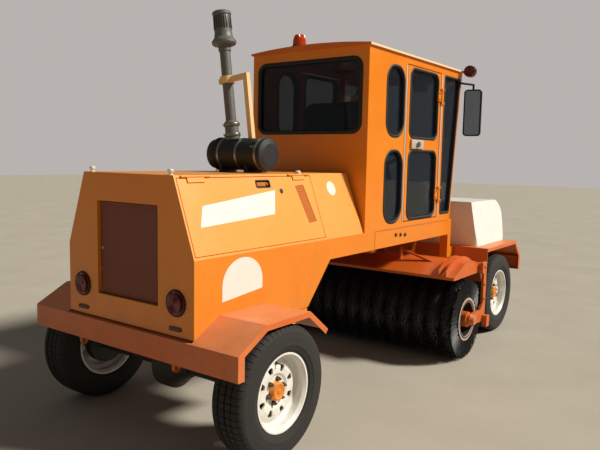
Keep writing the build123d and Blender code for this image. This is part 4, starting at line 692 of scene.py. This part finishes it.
class BROOM_OT_gaskets(Operator):
    """Runs a rubber extrusion round every window, inside and outside"""
    bl_idname = "broom.gaskets"
    bl_label = "Window gaskets"

    def execute(self, context):
        settings = context.scene.broom_gaskets
        w, p = settings.width, settings.proud
        deep = 0.0166
        lip = [
            (-0.006, -deep), (-0.006, -0.004), (-0.001, p), (0.003, p + 0.001), (w - 0.004, p), (w, p * 0.4),
            (w, 0.0002), (0.0004, 0.0002), (0.0004, -deep),
        ]
        for side, tag in SIDES:
            sheet = Y * BODY_Y * side
            inner = Y * (BODY_Y - CAB_SKIN) * side
            fixed, moving = Shape(), Shape()
            for lights, shape in ((SIDE_LIGHTS, fixed), (DOOR_LIGHTS, moving)):
                for x, z, width, height, radius in lights:
                    for face, out in ((sheet, Y * side), (inner, -Y * side)):
                        across = X * (-1 if out.y > 0 else 1)
                        path = ring_path(face + X * x + Z * z, across, Z, width, height, radius)
                        shape.sweep(path, lip, out)
            corners = mm((810, 1106), (978.8, 1106), (1112.2, 2230), (810, 2230))
            path = eased([sheet + X * x + Z * z for x, z in corners], 0.012)
            fixed.sweep(path[::-side], lip, Y * side)
            fixed.piece("side_gaskets_" + tag, "gasket", "black_plastic", sharp=50)
            moving.piece("door_gaskets_" + tag, "gasket", "black_plastic", "door_" + tag, sharp=50)
        ends = Shape()
        middle = Vector((CAB_REAR, 0, 1.973))
        wide = [(a * 1.7 if a > 0.001 else a, b * 1.5 if b > 0 else b * 0.85) for a, b in lip]
        ends.sweep(ring_path(middle, -Y, Z, 0.87, 0.478, 0.055), wide, -X)
        ends.sweep(ring_path(middle + X * CAB_SKIN, Y, Z, 0.87, 0.478, 0.055), lip, X)
        slope = Vector((CAB_LEAN, 0, EAVE - RAIL_TOP)).normalized()
        middle = Vector((CAB_FRONT, 0, RAIL_TOP)) + slope * 0.6614
        ends.sweep(ring_path(middle, Y, slope, 0.934, 1.0829, 0.04), lip, Vector((slope.z, 0, -slope.x)))
        ends.piece("end_gaskets", "gasket", "black_plastic", sharp=50)
        return {"FINISHED"}


class BROOM_OT_side_doors(Operator):
    """Fits the sunk paddle latches, the hole plugs and the slanting vents' blades to the side doors"""
    bl_idname = "broom.side_doors"
    bl_label = "Side door fittings"

    def execute(self, context):
        for side, tag in SIDES:
            body = "side_door_" + tag
            pan, paddle, louvres = Shape(), Shape(), Shape()
            slope = (on_flank(0, 1, side) - on_flank(0, 0, side)).normalized()
            out = (on_flank(0, 0, side, 1) - on_flank(0, 0, side)).normalized()
            middle = on_flank(SIDE_DOOR_REAR + 0.65, 0.3747, side)
            across = X * -side
            # a pressed steel pan with a thin flange on the skin
            pan.sweep(ring_path(middle, across, slope, 0.1176, 0.0376, 0.006, 4), mm(
                (6, 0.4), (6, 1.6), (-0.6, 1.6), (-1.6, -22), (-0.6, -22), (-0.2, 0.4)), out)
            pan.plate(middle - out * 0.022, across, slope, 0.115, 0.035, 0.005, out * 0.001)
            pan.piece("latch_pan_" + tag, "black", "black_paint", body, sharp=40)
            # the paddle is painted ochre-brown, and the pan black, as painted shade in the sunk latch
            paddle.plate(middle + out * -0.009 - X * 0.008, across, slope, 0.076, 0.024, 0.004, out * 0.004)
            pin = middle + out * -0.013 + slope * 0.009
            paddle.spin(mm((-52, 0), (-52, 4.5), (52, 4.5), (52, 0)), pin, X, 16)
            lock = middle + X * 0.043 - out * 0.014
            paddle.spin(mm((0, 0), (0, 8.5), (10, 8.5), (11.5, 7), (11.5, 0)), lock, out, 24)
            paddle.piece("latch_paddle_" + tag, "recess_shade", "orange_paint", body, bevel=0.0006)
            # a backing sheet and low louvre blades that fill the slanting vent, painted ochre-brown as the
            # vent's shade
            corners = [(0.947, 0.82), (1.033, 0.838), (1.077, 0.287), (0.994, 0.27)]
            a, b, c, d = [on_flank(SIDE_DOOR_REAR + x, FLANK_LENGTH * up, side) for x, up in corners]
            blades = 15
            for k in range(blades):
                t0, t1 = (k + 0.12) / blades, (k + 0.88) / blades
                inset = (c.lerp(b, t0) - d.lerp(a, t0)).normalized() * 0.003
                # each blade's lower edge lies 3 mm deeper than its upper one
                edges = ((t0, 0.0036), (t1, 0.0006), (t1, 0.0026), (t0, 0.0046))
                louvres.grid([
                    [foot.lerp(head, t) + inwards - out * deep for t, deep in edges]
                    for foot, head, inwards in ((d, a, inset), (c, b, -inset))
                ], across=True, caps=True)
            louvres.prism([point - out * 0.0046 for point in (a, b, c, d)], out * 0.002)
            louvres.piece("vent_blades_" + tag, "recess_shade", "head_paint", body, sharp=30)
            plug = mm((-8, 0), (-8, 11.2), (0.4, 11.2), (0.4, 16), (1.6, 15.5), (2.6, 11), (2.6, 0))
            hole = on_flank(SIDE_DOOR_REAR + 0.802, FLANK_LENGTH * 0.757, side)
            Shape().spin(plug, hole, out, 28).piece("hole_plug_" + tag, "gasket", "black_plastic", body)
        return {"FINISHED"}


class LabelSettings(PropertyGroup):
    colour: StringProperty(
        name="Label colour", description="Colour of the bare labels as an sRGB hex value", default="#E9E4DA")


class BROOM_OT_labels(Operator):
    """Lays the bare vinyl labels on the housing, with nothing printed on them"""
    bl_idname = "broom.labels"
    bl_label = "Bare labels"

    def execute(self, context):
        def height_up(z):
            return (z - RAIL_TOP) / FLANK.z * FLANK_LENGTH

        # the film lies off the sheet by a hair and is half a millimetre thick
        off, film = 0.0002, 0.0005
        for side, tag in SIDES:
            out = (on_flank(0, 0, side, 1) - on_flank(0, 0, side)).normalized()
            corners = mm((-1890, 1289), (-1278, 1351), (-1335, 1218), (-1938, 1185))
            path = eased([on_flank(x, height_up(z), side, off) for x, z in corners], 0.01)
            banner = Shape().prism(path, out * film)
            banner.piece("banner_label_" + tag, "label", "white_plastic", "side_door_" + tag)
            disc = [(off, 0), (off, 0.048), (off + film, 0.048), (off + film, 0)]
            disc = Shape().spin(disc, on_flank(-0.69, height_up(1.346), side), out, 40)
            disc.piece("round_label_" + tag, "label", "white_plastic")
            arch = [(-1.838, 0.8), (-1.52, 0.83)]
            for k in range(17):
                angle = radians(180 * k / 16)
                arch.append((-1.679 + 0.159 * cos(angle), 0.88 + 0.136 * sin(angle)))
            arch = [Vector((x, BODY_Y * side, z)) + Y * side * off for x, z in arch]
            Shape().prism(arch, Y * side * film).piece("arch_label_" + tag, "label", "white_plastic")
        return {"FINISHED"}


class BROOM_OT_cab_fittings(Operator):
    """Fits the cab doors' latches and hinge screws, the doorway's trim and the sill's seal"""
    bl_idname = "broom.cab_fittings"
    bl_label = "Cab fittings"

    def execute(self, context):
        for side, tag in SIDES:
            out = Y * side
            across = X * -side
            door = "door_" + tag
            latch = Vector((0.31, (BODY_Y + 0.0142) * side, 1.662))
            plate = Shape().plate(latch, across, Z, 0.202, 0.068, 0.006, out * 0.0016)
            plate.piece("latch_plate_" + tag, "trim", "bare_steel", door, bevel=0.0005)
            knob = Shape().spin(mm(
                (1.8, 0), (1.8, 22.5), (4, 22.5), (5, 21.5), (17, 21.3), (18.5, 20), (18.5, 12), (17.5, 11),
                (17.5, 0)), latch, out, 36)
            button = mm((17.5, 0), (17.5, 9.5), (21.5, 9), (22.5, 7), (22.5, 0))
            knob.spin(button, latch, out, 30)
            knob.piece("latch_button_" + tag, "zinc", "bare_steel", door)
            for name, body, x, gap in (("door_hinge", door, 0.692, 0.026), ("cab", "machine", 0.776, 0.052)):
                screws = Shape()
                for z in HINGE_HEIGHTS:
                    for dz in (-gap, gap):
                        bolt(screws, Vector((x, (BODY_Y + 0.01) * side, z + dz)), out, 0.011, 0.005)
                screws.piece(f"{name}_screws_{tag}", "zinc", "bare_steel", body)
            # anodised trim up both edges of the doorway
            trim = Shape()
            for x in (0.121, 0.749):
                middle = Vector((x, BODY_Y * side, 1.658)) + out * 0.0003
                trim.plate(middle, across, Z, 0.02, 1.15, 0.004, out * 0.0022, 3)
            trim.piece("doorway_trim_" + tag, "trim", "bare_steel", bevel=0.0006)
            corners = mm((140, 30), (730, 30), (730, 12), (140, 12))
            corners = [Vector((x, (BODY_Y - inset) * side, 1.0755)) for x, inset in corners]
            seal = Shape().prism(corners, Z * 0.005)
            seal.piece("door_sill_seal_" + tag, "gasket", "black_plastic", bevel=0.001)
        return {"FINISHED"}


class SeatSettings(PropertyGroup):
    crown: FloatProperty(
        name="Crown", description="How far the cushions rise in their middles", default=0.022, min=0,
        unit="LENGTH")


def cushion(low, high, face, crown):
    """A closed pad whose sides pull in between its corners, with sewn channels across its crowned face."""
    steps = 24
    size = high - low
    first, second = [i for i in range(3) if i != face]
    middle = low[face] + size[face] * 0.42
    shape = Shape()
    rims = []
    for sewn_face in (False, True):
        rows = []
        for i in range(steps + 1):
            row = []
            for j in range(steps + 1):
                u, v = i / steps, j / steps
                # superellipse corners, with the sides drawn in a little halfway along
                a, b = 2 * u - 1, 2 * v - 1
                pull = 1 - 0.018 * (1 - a * a) * abs(b) ** 6 - 0.018 * (1 - b * b) * abs(a) ** 6
                point = Vector((0, 0, 0))
                point[first] = low[first] + size[first] * (0.5 + a * 0.5 * pull * (1 - 0.1 * abs(b) ** 8))
                point[second] = low[second] + size[second] * (0.5 + b * 0.5 * pull * (1 - 0.1 * abs(a) ** 8))
                swell = max((1 - abs(a) ** 6) * (1 - abs(b) ** 6), 0) ** 0.45
                if sewn_face:
                    sewn = sum(max(0.0, 1 - abs(v - c) / CHANNEL_HALF) for c in CHANNELS)
                    rise = 0.3 + 0.7 * swell - 0.1 * min(sewn, 1.0) * swell
                    point[face] = middle + (high[face] - crown * 0.2 - middle) * rise
                else:
                    point[face] = middle - (middle - low[face]) * min(1.0, 0.45 + swell)
                row.append(point)
            rows.append(row)
        shape.grid(rows)
        rims.append(
            [row[0] for row in rows] + rows[steps][1:]
            + [row[steps] for row in rows[-2::-1]] + rows[0][steps - 1:0:-1])
    return shape.grid(rims, across=True)


class BROOM_OT_seat(Operator):
    """Upholsters the driver's seat: a bellows pedestal, a sewn cushion and a sewn back"""
    bl_idname = "broom.seat"
    bl_label = "Seat"

    def execute(self, context):
        settings = context.scene.broom_seat
        low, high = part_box("seat")
        base = Shape()
        foot = Vector((low.x + 0.26, (low.y + high.y) / 2, low.z))
        for width, bottom, top in ((0.356, 0.000, 0.012), (0.24, 0.012, 0.205), (0.34, 0.205, 0.247)):
            base.plate(foot + Z * bottom, X, Y, width, width, 0.03, Z * (top - bottom), 5)
        for k in range(6):
            fold = ring_path(foot + Z * (0.035 + k * 0.028), X, Y, 0.246, 0.246, 0.035, 5)
            base.sweep(fold, mm((0, -8), (10, 0), (0, 8)), Z)
        base.piece("seat_pedestal", "plastic", "black_plastic", bevel=0.003, replaces=["seat"])
        pads = (
            ("seat_cushion", (0.02, 0.003, 0.251), (high.x - 0.003, high.y - 0.003, low.z + 0.369), 2),
            ("seat_back", (0.003, 0.013, 0.372), (low.x + 0.109, high.y - 0.013, high.z - 0.003), 0),
        )
        for name, near, far, face in pads:
            pad = cushion(low + Vector(near), Vector(far), face, settings.crown)
            pad = pad.piece(name, "vinyl", "vinyl", sharp=60)
        return {"FINISHED"}


class BROOM_OT_lamp_lenses(Operator):
    """Fits the ribbed lenses, the rubber surrounds and the bezels of every lamp"""
    bl_idname = "broom.lamp_lenses"
    bl_label = "Lamp lenses"

    def execute(self, context):
        rings, cases, bezels = Shape(), Shape(), Shape()
        for side, tag in SIDES[::-1]:
            place = Vector((HOUSING_REAR, 0.38 * side, 0.812))
            surround = mm((0.3, 61.8), (0.3, 69), (5, 69), (11, 65.5), (12.5, 62.2))
            rings.spin(surround, place, -X, 48)
            for angle in (60, 180, 300):
                spot = place + Vector((0, cos(radians(angle)), sin(radians(angle)))) * 0.0565
                bolt(rings, spot - X * 0.0104, -X, 0.006, 0.002)
            rim = mm((19.5, 50.5), (10.2, 50.8), (10.4, 62.2), (4, 62.4))
            lens = Shape().spin([(0.0202, 0)] + ribs(9, 0.0212, 0.0204) + rim, place, -X, 56)
            lens.piece("tail_lens_" + tag, "red", "red_lens", sharp=30)
        rings.piece("tail_lamp_surrounds", "gasket", "black_plastic")
        for side, tag in SIDES[::-1]:
            place = Vector((CAB_FRONT + 0.147, (BODY_Y + 0.075) * side, EAVE + 0.007))
            rim = [(0.0322, 0.044), (0.026, 0.0455)]
            lens = Shape().spin([(0.0335, 0)] + ribs(7, 0.034, 0.033) + rim, place, -X, 44)
            lens.piece("corner_lens_" + tag, "red", "red_lens", sharp=30)
            case = mm((-20.5, 0), (-20.5, 40), (-14, 47.8), (-10, 48.5), (29, 48.5), (31, 47), (30, 44.5))
            cases.spin(case, place, -X, 44)
        cases.piece("corner_lamp_cases", "black", "black_paint")
        low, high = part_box("roof_beacon")
        base = Vector(((low.x + high.x) / 2, (low.y + high.y) / 2, high.z - 0.094))
        flutes = 96
        dome = mm(
            (14.5, 48.4), (20, 48), (40, 46.4), (60, 44.6), (75, 39.8), (87, 34), (92.5, 24), (94.3, 15),
            (94.6, 0))
        rows = []
        for k in range(flutes):
            swell = 0.0009 * (1 if k % 2 else -1)
            out = Vector((cos(2 * pi * k / flutes), sin(2 * pi * k / flutes), 0))
            # the flutes run out before the smooth middle of the top
            rows.append([base + out * (r + (swell if r > 0.016 else 0)) + Z * z for z, r in dome])
        Shape().grid(rows, around=True).piece("beacon_dome", "amber", "amber_lens", sharp=20)
        ring = mm((0.5, 55.2), (0.5, 58.5), (6, 58.5), (10.5, 56), (10.8, 50), (14.6, 49))
        Shape().spin(ring, base, Z, 48).piece("beacon_ring", "gasket", "black_plastic")
        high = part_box("head_lamps")[1]
        for side, tag in SIDES[::-1]:
            place = Vector((high.x - 0.03, 0.42 * side, 0.781))
            bezels.spin(mm(
                (5.5, 60.2), (10, 62.5), (20, 62.5), (23.5, 60.5), (24, 54.8), (22.5, 54.5)), place, X, 48)
            outline = [(0.0322, 0)] + ribs(9, 0.0312, 0.032, 0.0025, 0.06) + [(0.025, 0.054)]
            lens = Shape().spin(outline, place, X, 56)
            lens.piece("head_lens_" + tag, "lens", "clear_lens", sharp=30)
        bezels.piece("head_lamp_bezels", "zinc", "bare_steel")
        return {"FINISHED"}


class BROOM_OT_mirror_glass(Operator):
    """Sets the silvered glass and its rubber rim in each mirror's rear face"""
    bl_idname = "broom.mirror_glass"
    bl_label = "Mirror glass"

    def execute(self, context):
        for side, tag in SIDES:
            out = Vector((-cos(MIRROR_YAW), sin(MIRROR_YAW) * side, 0))
            across = out.cross(Z)
            middle = Vector((MIRROR_X, MIRROR_Y * side, EAVE - 0.34)) + out * MIRROR_GAUGE / 2
            face = Shape().plate(middle + out * 0.0004, across, Z, 0.134, 0.384, 0.024, out * 0.0012, 8)
            face.piece("mirror_glass_" + tag, "silvered", "clear_lens")
            lip = mm((0, 0.2), (0, 4), (3, 5), (6, 3), (6, 0.2))
            rim = Shape().sweep(ring_path(middle, across, Z, 0.138, 0.388, 0.026), lip, out)
            rim.piece("mirror_rim_" + tag, "gasket", "black_plastic")
        return {"FINISHED"}


class BROOM_OT_intake(Operator):
    """Adds the clamps, the louvred pre-cleaner and the canister bands of the air intake"""
    bl_idname = "broom.intake"
    bl_label = "Intake fittings"

    def execute(self, context):
        foot = CANISTER + Y * 0.064
        up = Vector((0, sin(STACK_LEAN), cos(STACK_LEAN)))
        side = Vector((0, cos(STACK_LEAN), -sin(STACK_LEAN)))
        clamps = Shape()
        # place, axis, half width, inner and outer radius, steps of each band
        bands = [(foot + up * t, up, 0.0065, 0.0512, 0.0524, 48) for t in (0.122, 0.188)]
        bands += [
            (CANISTER + Y * y, Y, 0.008, inner, outer, 64)
            for y, inner, outer in ((-0.19, 0.1045, 0.106), (-0.03, 0.1003, 0.1016), (0.12, 0.1003, 0.1016))
        ]
        for place, axis, half, inner, outer, steps in bands:
            clamps.spin([(-half, inner), (-half, outer), (half, outer), (half, inner)], place, axis, steps)
        screw = mm((-18, 0), (-18, 4.8), (14, 4.8), (14, 6.5), (21, 6.5), (21, 0))
        for band in bands[:2]:
            clamps.spin(screw, band[0] - X * 0.0555, side, 14)
        for angle in (35, 155, 275):
            out, round_way = radial(radians(angle))
            clip = CANISTER - Y * 0.176 + out * 0.1046
            corners = mm((9, -20), (-9, -20), (-7, 26), (7, 26))
            clamps.prism([clip + round_way * a + Y * b for a, b in corners], out * 0.005)
        clamps.piece("intake_clamps", "zinc", "bare_steel", bevel=0.0004)
        vanes = Shape()
        count = 20
        for k in range(count):
            angle = 2 * pi * k / count
            out = (X * cos(angle) + side * sin(angle)).normalized()
            half = up.cross(out) * 0.0035
            low = foot + up * 0.792 + out * 0.0562
            high = foot + up * 0.872 + out * 0.0545
            vanes.prism([low - half, low + half, high + half, high - half], out * 0.0022)
        vanes.spin(mm((900, 0), (904.8, 0), (904.8, 51.5), (903, 53), (900, 53)), foot, up, 48)
        vanes.piece("precleaner_vanes", "black", "black_paint", bevel=0.0004)
        return {"FINISHED"}


class FastenerSettings(PropertyGroup):
    flats: FloatProperty(
        name="Bolt size", description="Width across the flats of the frame's bolts", default=0.019, min=0.005,
        unit="LENGTH")


class BROOM_OT_fasteners(Operator):
    """Adds the frame's bolts and joints, the housing's studs, and the rear screen's cloth and screws"""
    bl_idname = "broom.fasteners"
    bl_label = "Fasteners and screen"

    def execute(self, context):
        flats = context.scene.broom_fasteners.flats
        frame_bolts, joints, studs, screws = Shape(), Shape(), Shape(), Shape()
        for side in (1, -1):
            out = Y * side
            for x, z in ((0.04, 0.985), (0.115, 0.98), (0.19, 0.974)):
                bolt(frame_bolts, Vector((x, 0.499 * side, z)), out, flats, 0.009)
            # the plate joint in the rail, a dark upright line behind the cab's corner
            middle = Vector((-0.283, BODY_Y * side, 0.971)) + out * 0.0002
            joints.plate(middle, X * -side, Z, 0.004, 0.126, 0.001, out * 0.0006, 2)
            # small catches at the foot of the rear wall
            middle = Vector((HOUSING_REAR, 0.375 * side, 0.68)) - X * 0.0002
            frame_bolts.plate(middle, -Y, Z, 0.084, 0.02, 0.006, -X * 0.008)
            # bright studs on the top of the rear wall
            stud = mm((0, 0), (0, 16), (3, 16), (4, 9), (14, 9), (16, 15), (24, 16.5), (30, 12), (32, 0))
            studs.spin(stud, Vector((HOUSING_REAR + 0.024, 0.315 * side, HOUSING_TOP)), Z, 24)
            # the bright cap of the forward hinge of each side door
            cap = mm((0, 0), (0, 20), (12, 19), (19, 12), (21, 0))
            studs.spin(cap, Vector((-0.985, 0.338 * side, HOUSING_TOP)), Z, 24)
        # the studs and caps are bright steel painted near-white, partly a painted glint of the sun
        studs.piece("housing_studs", "studs", "bare_steel")
        frame_bolts.piece("frame_bolts", "dulled", "bare_steel")
        joints.piece("rail_joints", "gasket", "black_plastic", bevel=0.0002)
        middle = Vector((SCREEN_X - 0.0005, 0, 1.0325))
        cloth = Shape().plate(middle, -Y, Z, 0.436, 0.462, 0.004, -X * 0.0012, 3)
        cloth.piece("screen_cloth", "mesh", "dark_mesh", "grille_door")
        for y in (-0.229, 0.229):
            for k in range(5):
                bolt(screws, Vector((SCREEN_X, y, 0.795 + k * 0.119)), -X, 0.008, 0.003)
        pull = mm((0, 0), (0, 11), (3, 11), (4, 9), (4, 0))
        screws.spin(pull, Vector((SCREEN_X, 0.226, 1.031)), -X, 24)
        screws.piece("screen_screws", "zinc", "bare_steel", "grille_door")
        return {"FINISHED"}


class BROOM_OT_tank_fittings(Operator):
    """Adds the ribbed filler cap of the water tank"""
    bl_idname = "broom.tank_fittings"
    bl_label = "Tank fittings"

    def execute(self, context):
        low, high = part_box("water_tank")
        place = Vector((low.x + 0.15, 0, high.z - 0.028))
        steps = 96
        rows = []
        for k in range(steps):
            out = Vector((cos(2 * pi * k / steps), sin(2 * pi * k / steps), 0))
            grip = 0.0022 if k % 4 < 2 else 0.0
            outline = [(0.001, 0.0935 + grip), (0.024, 0.0925 + grip), (0.0285, 0.0885), (0.0285, 0.07)]
            rows.append([place + out * r + Z * z for z, r in outline + [(0.0265, 0.068), (0.0265, 0)]])
        Shape().grid(rows, around=True).piece("tank_filler_cap", "tank", "white_plastic", sharp=25)
        return {"FINISHED"}


class BROOM_OT_broom_fittings(Operator):
    """Adds the motor ends and the bolts on the outsides of the drop arms"""
    bl_idname = "broom.broom_fittings"
    bl_label = "Broom fittings"

    def execute(self, context):
        fittings = Shape()
        for side in (-1, 1):
            face = Vector((0.51, ARM_Y * side, 0.316))
            axis = Y * side
            # motor body on the arm's outside, within the arm's own width
            motor = mm(
                (-0.2, 0), (-0.2, 43), (5, 43), (9, 40), (30, 38), (36, 34), (36, 14), (39, 12), (39, 0))
            fittings.spin(motor, face, axis, 32)
            for k in range(4):
                out = radial(2 * pi * (k + 0.5) / 4)[0]
                bolt(fittings, face + axis * 0.005 + out * 0.0355, axis, 0.011, 0.006)
            for z in (0.7, 0.56, 0.44):
                bolt(fittings, Vector((0.78, ARM_Y * side, z)), axis, 0.019, 0.009)
        fittings.piece("broom_motor_ends", "dusty", "orange_paint", "broom_head")
        return {"FINISHED"}


class StageSettings(PropertyGroup):
    sun: FloatProperty(name="Sun strength", description="Strength of the key light", default=4.7, min=0)
    sky: FloatProperty(name="Sky strength", description="Brightness of the studio", default=0.155, min=0)
    backdrop: FloatProperty(name="Backdrop", description="Brightness of the wall behind", default=0.55, min=0)
    floor: StringProperty(name="Floor", description="Floor colour as an sRGB hex value", default="#B2AC9E")


class BROOM_OT_finishes(Operator):
    """Gives every carried-over part the finish of its real material"""
    bl_idname = "broom.finishes"
    bl_label = "Finishes"

    def execute(self, context):
        left = set(NODES)
        for finish, names in FINISH_OF.items():
            for name in names:
                materials = NODES[name].data.materials
                materials.clear()
                materials.append(stock(finish))
                left.discard(name)
        if left:
            raise RuntimeError(f"no finish for {sorted(left)}")
        return {"FINISHED"}


class BROOM_OT_stage(Operator):
    """Sets the floor, the lights and the photograph's camera"""
    bl_idname = "broom.stage"
    bl_label = "Stage"

    def execute(self, context):
        settings = context.scene.broom_stage
        bpy.ops.mesh.primitive_plane_add(size=FLOOR_SIZE)
        floor = context.object
        floor.name = "studio_floor"
        material, tree, shader = surface("swept_concrete_floor", {"Roughness": 0.85})
        tone = blended(tree, mottled(tree, 1.5, 0.3, 0.7), settings.floor, FLOOR_STAIN)
        tree.links.new(tone, shader.inputs["Base Color"])
        floor.data.materials.append(material)

        world = bpy.data.worlds.new("studio_sky")
        context.scene.world = world
        world.use_nodes = True
        sky = world.node_tree
        background = sky.nodes["Background"]
        background.inputs[0].default_value = linear(SKY_COLOUR)
        # The camera sees the wall paler than the light that the wall gives, as a flagged studio does
        seen = add(sky, "ShaderNodeLightPath").outputs["Is Camera Ray"]
        strength = stretched(sky, seen, 0.0, 1.0, settings.sky, settings.backdrop)
        sky.links.new(strength, background.inputs[1])

        sun = bpy.data.objects.new("key_sun", bpy.data.lights.new("key_sun", "SUN"))
        sun.data.energy = settings.sun
        sun.data.angle = SUN_WIDTH
        sun.data.color = SUN_COLOUR
        sun.rotation_euler = SUN_FROM.to_track_quat("Z", "Y").to_euler()
        context.collection.objects.link(sun)

        low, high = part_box("tyre_rear_left")
        camera = bpy.data.objects.new("photo_camera", bpy.data.cameras.new("photo_camera"))
        camera.data.sensor_width = SENSOR_MM
        camera.data.lens = FOCAL_PIXELS / PHOTO_WIDTH * SENSOR_MM
        flat = Vector((cos(CAMERA_YAW), sin(CAMERA_YAW), 0))
        ahead = flat * cos(CAMERA_PITCH) + Z * sin(CAMERA_PITCH)
        level = ahead.cross(Z).normalized()
        right = level * cos(CAMERA_ROLL) + level.cross(ahead) * sin(CAMERA_ROLL)
        up = right.cross(ahead)
        camera.matrix_world = Matrix((right, up, -ahead)).transposed().to_4x4()
        camera.location = CAMERA_FROM_AXLE + Vector(((low.x + high.x) / 2, 0, 0))
        context.collection.objects.link(camera)
        context.scene.camera = camera
        context.scene.view_settings.view_transform = "Standard"
        return {"FINISHED"}


class BROOM_PT_panel(Panel):
    """Lists the road broom's operators"""
    bl_label = "Road Broom"
    bl_idname = "BROOM_PT_panel"
    bl_space_type = "VIEW_3D"
    bl_region_type = "UI"
    bl_category = "Road Broom"

    def draw(self, context):
        for operator in OPERATORS:
            self.layout.operator(operator.bl_idname)
        for group, settings in SETTINGS.items():
            for name in settings.__annotations__:
                self.layout.prop(getattr(context.scene, group), name)


OPERATORS = [
    BROOM_OT_stage, BROOM_OT_finishes, BROOM_OT_tyres, BROOM_OT_wheel_trim, BROOM_OT_brush, BROOM_OT_gaskets,
    BROOM_OT_side_doors, BROOM_OT_labels, BROOM_OT_cab_fittings, BROOM_OT_seat, BROOM_OT_lamp_lenses,
    BROOM_OT_mirror_glass, BROOM_OT_intake, BROOM_OT_fasteners, BROOM_OT_tank_fittings,
    BROOM_OT_broom_fittings,
]
SETTINGS = {
    "broom_stage": StageSettings, "broom_tyres": TyreSettings, "broom_wheels": WheelSettings,
    "broom_brush": BrushSettings, "broom_gaskets": GasketSettings, "broom_seat": SeatSettings,
    "broom_labels": LabelSettings, "broom_fasteners": FastenerSettings,
}
CLASSES = [*SETTINGS.values(), *OPERATORS, BROOM_PT_panel]


def register():
    for cls in CLASSES:
        bpy.utils.register_class(cls)
    for group, settings in SETTINGS.items():
        setattr(bpy.types.Scene, group, bpy.props.PointerProperty(type=settings))


def unregister():
    for group in SETTINGS:
        delattr(bpy.types.Scene, group)
    for cls in reversed(CLASSES):
        bpy.utils.unregister_class(cls)


def main():
    register()
    for operator in OPERATORS:
        group, name = operator.bl_idname.split(".")
        getattr(getattr(bpy.ops, group), name)()


if __name__ == "__main__":
    main()
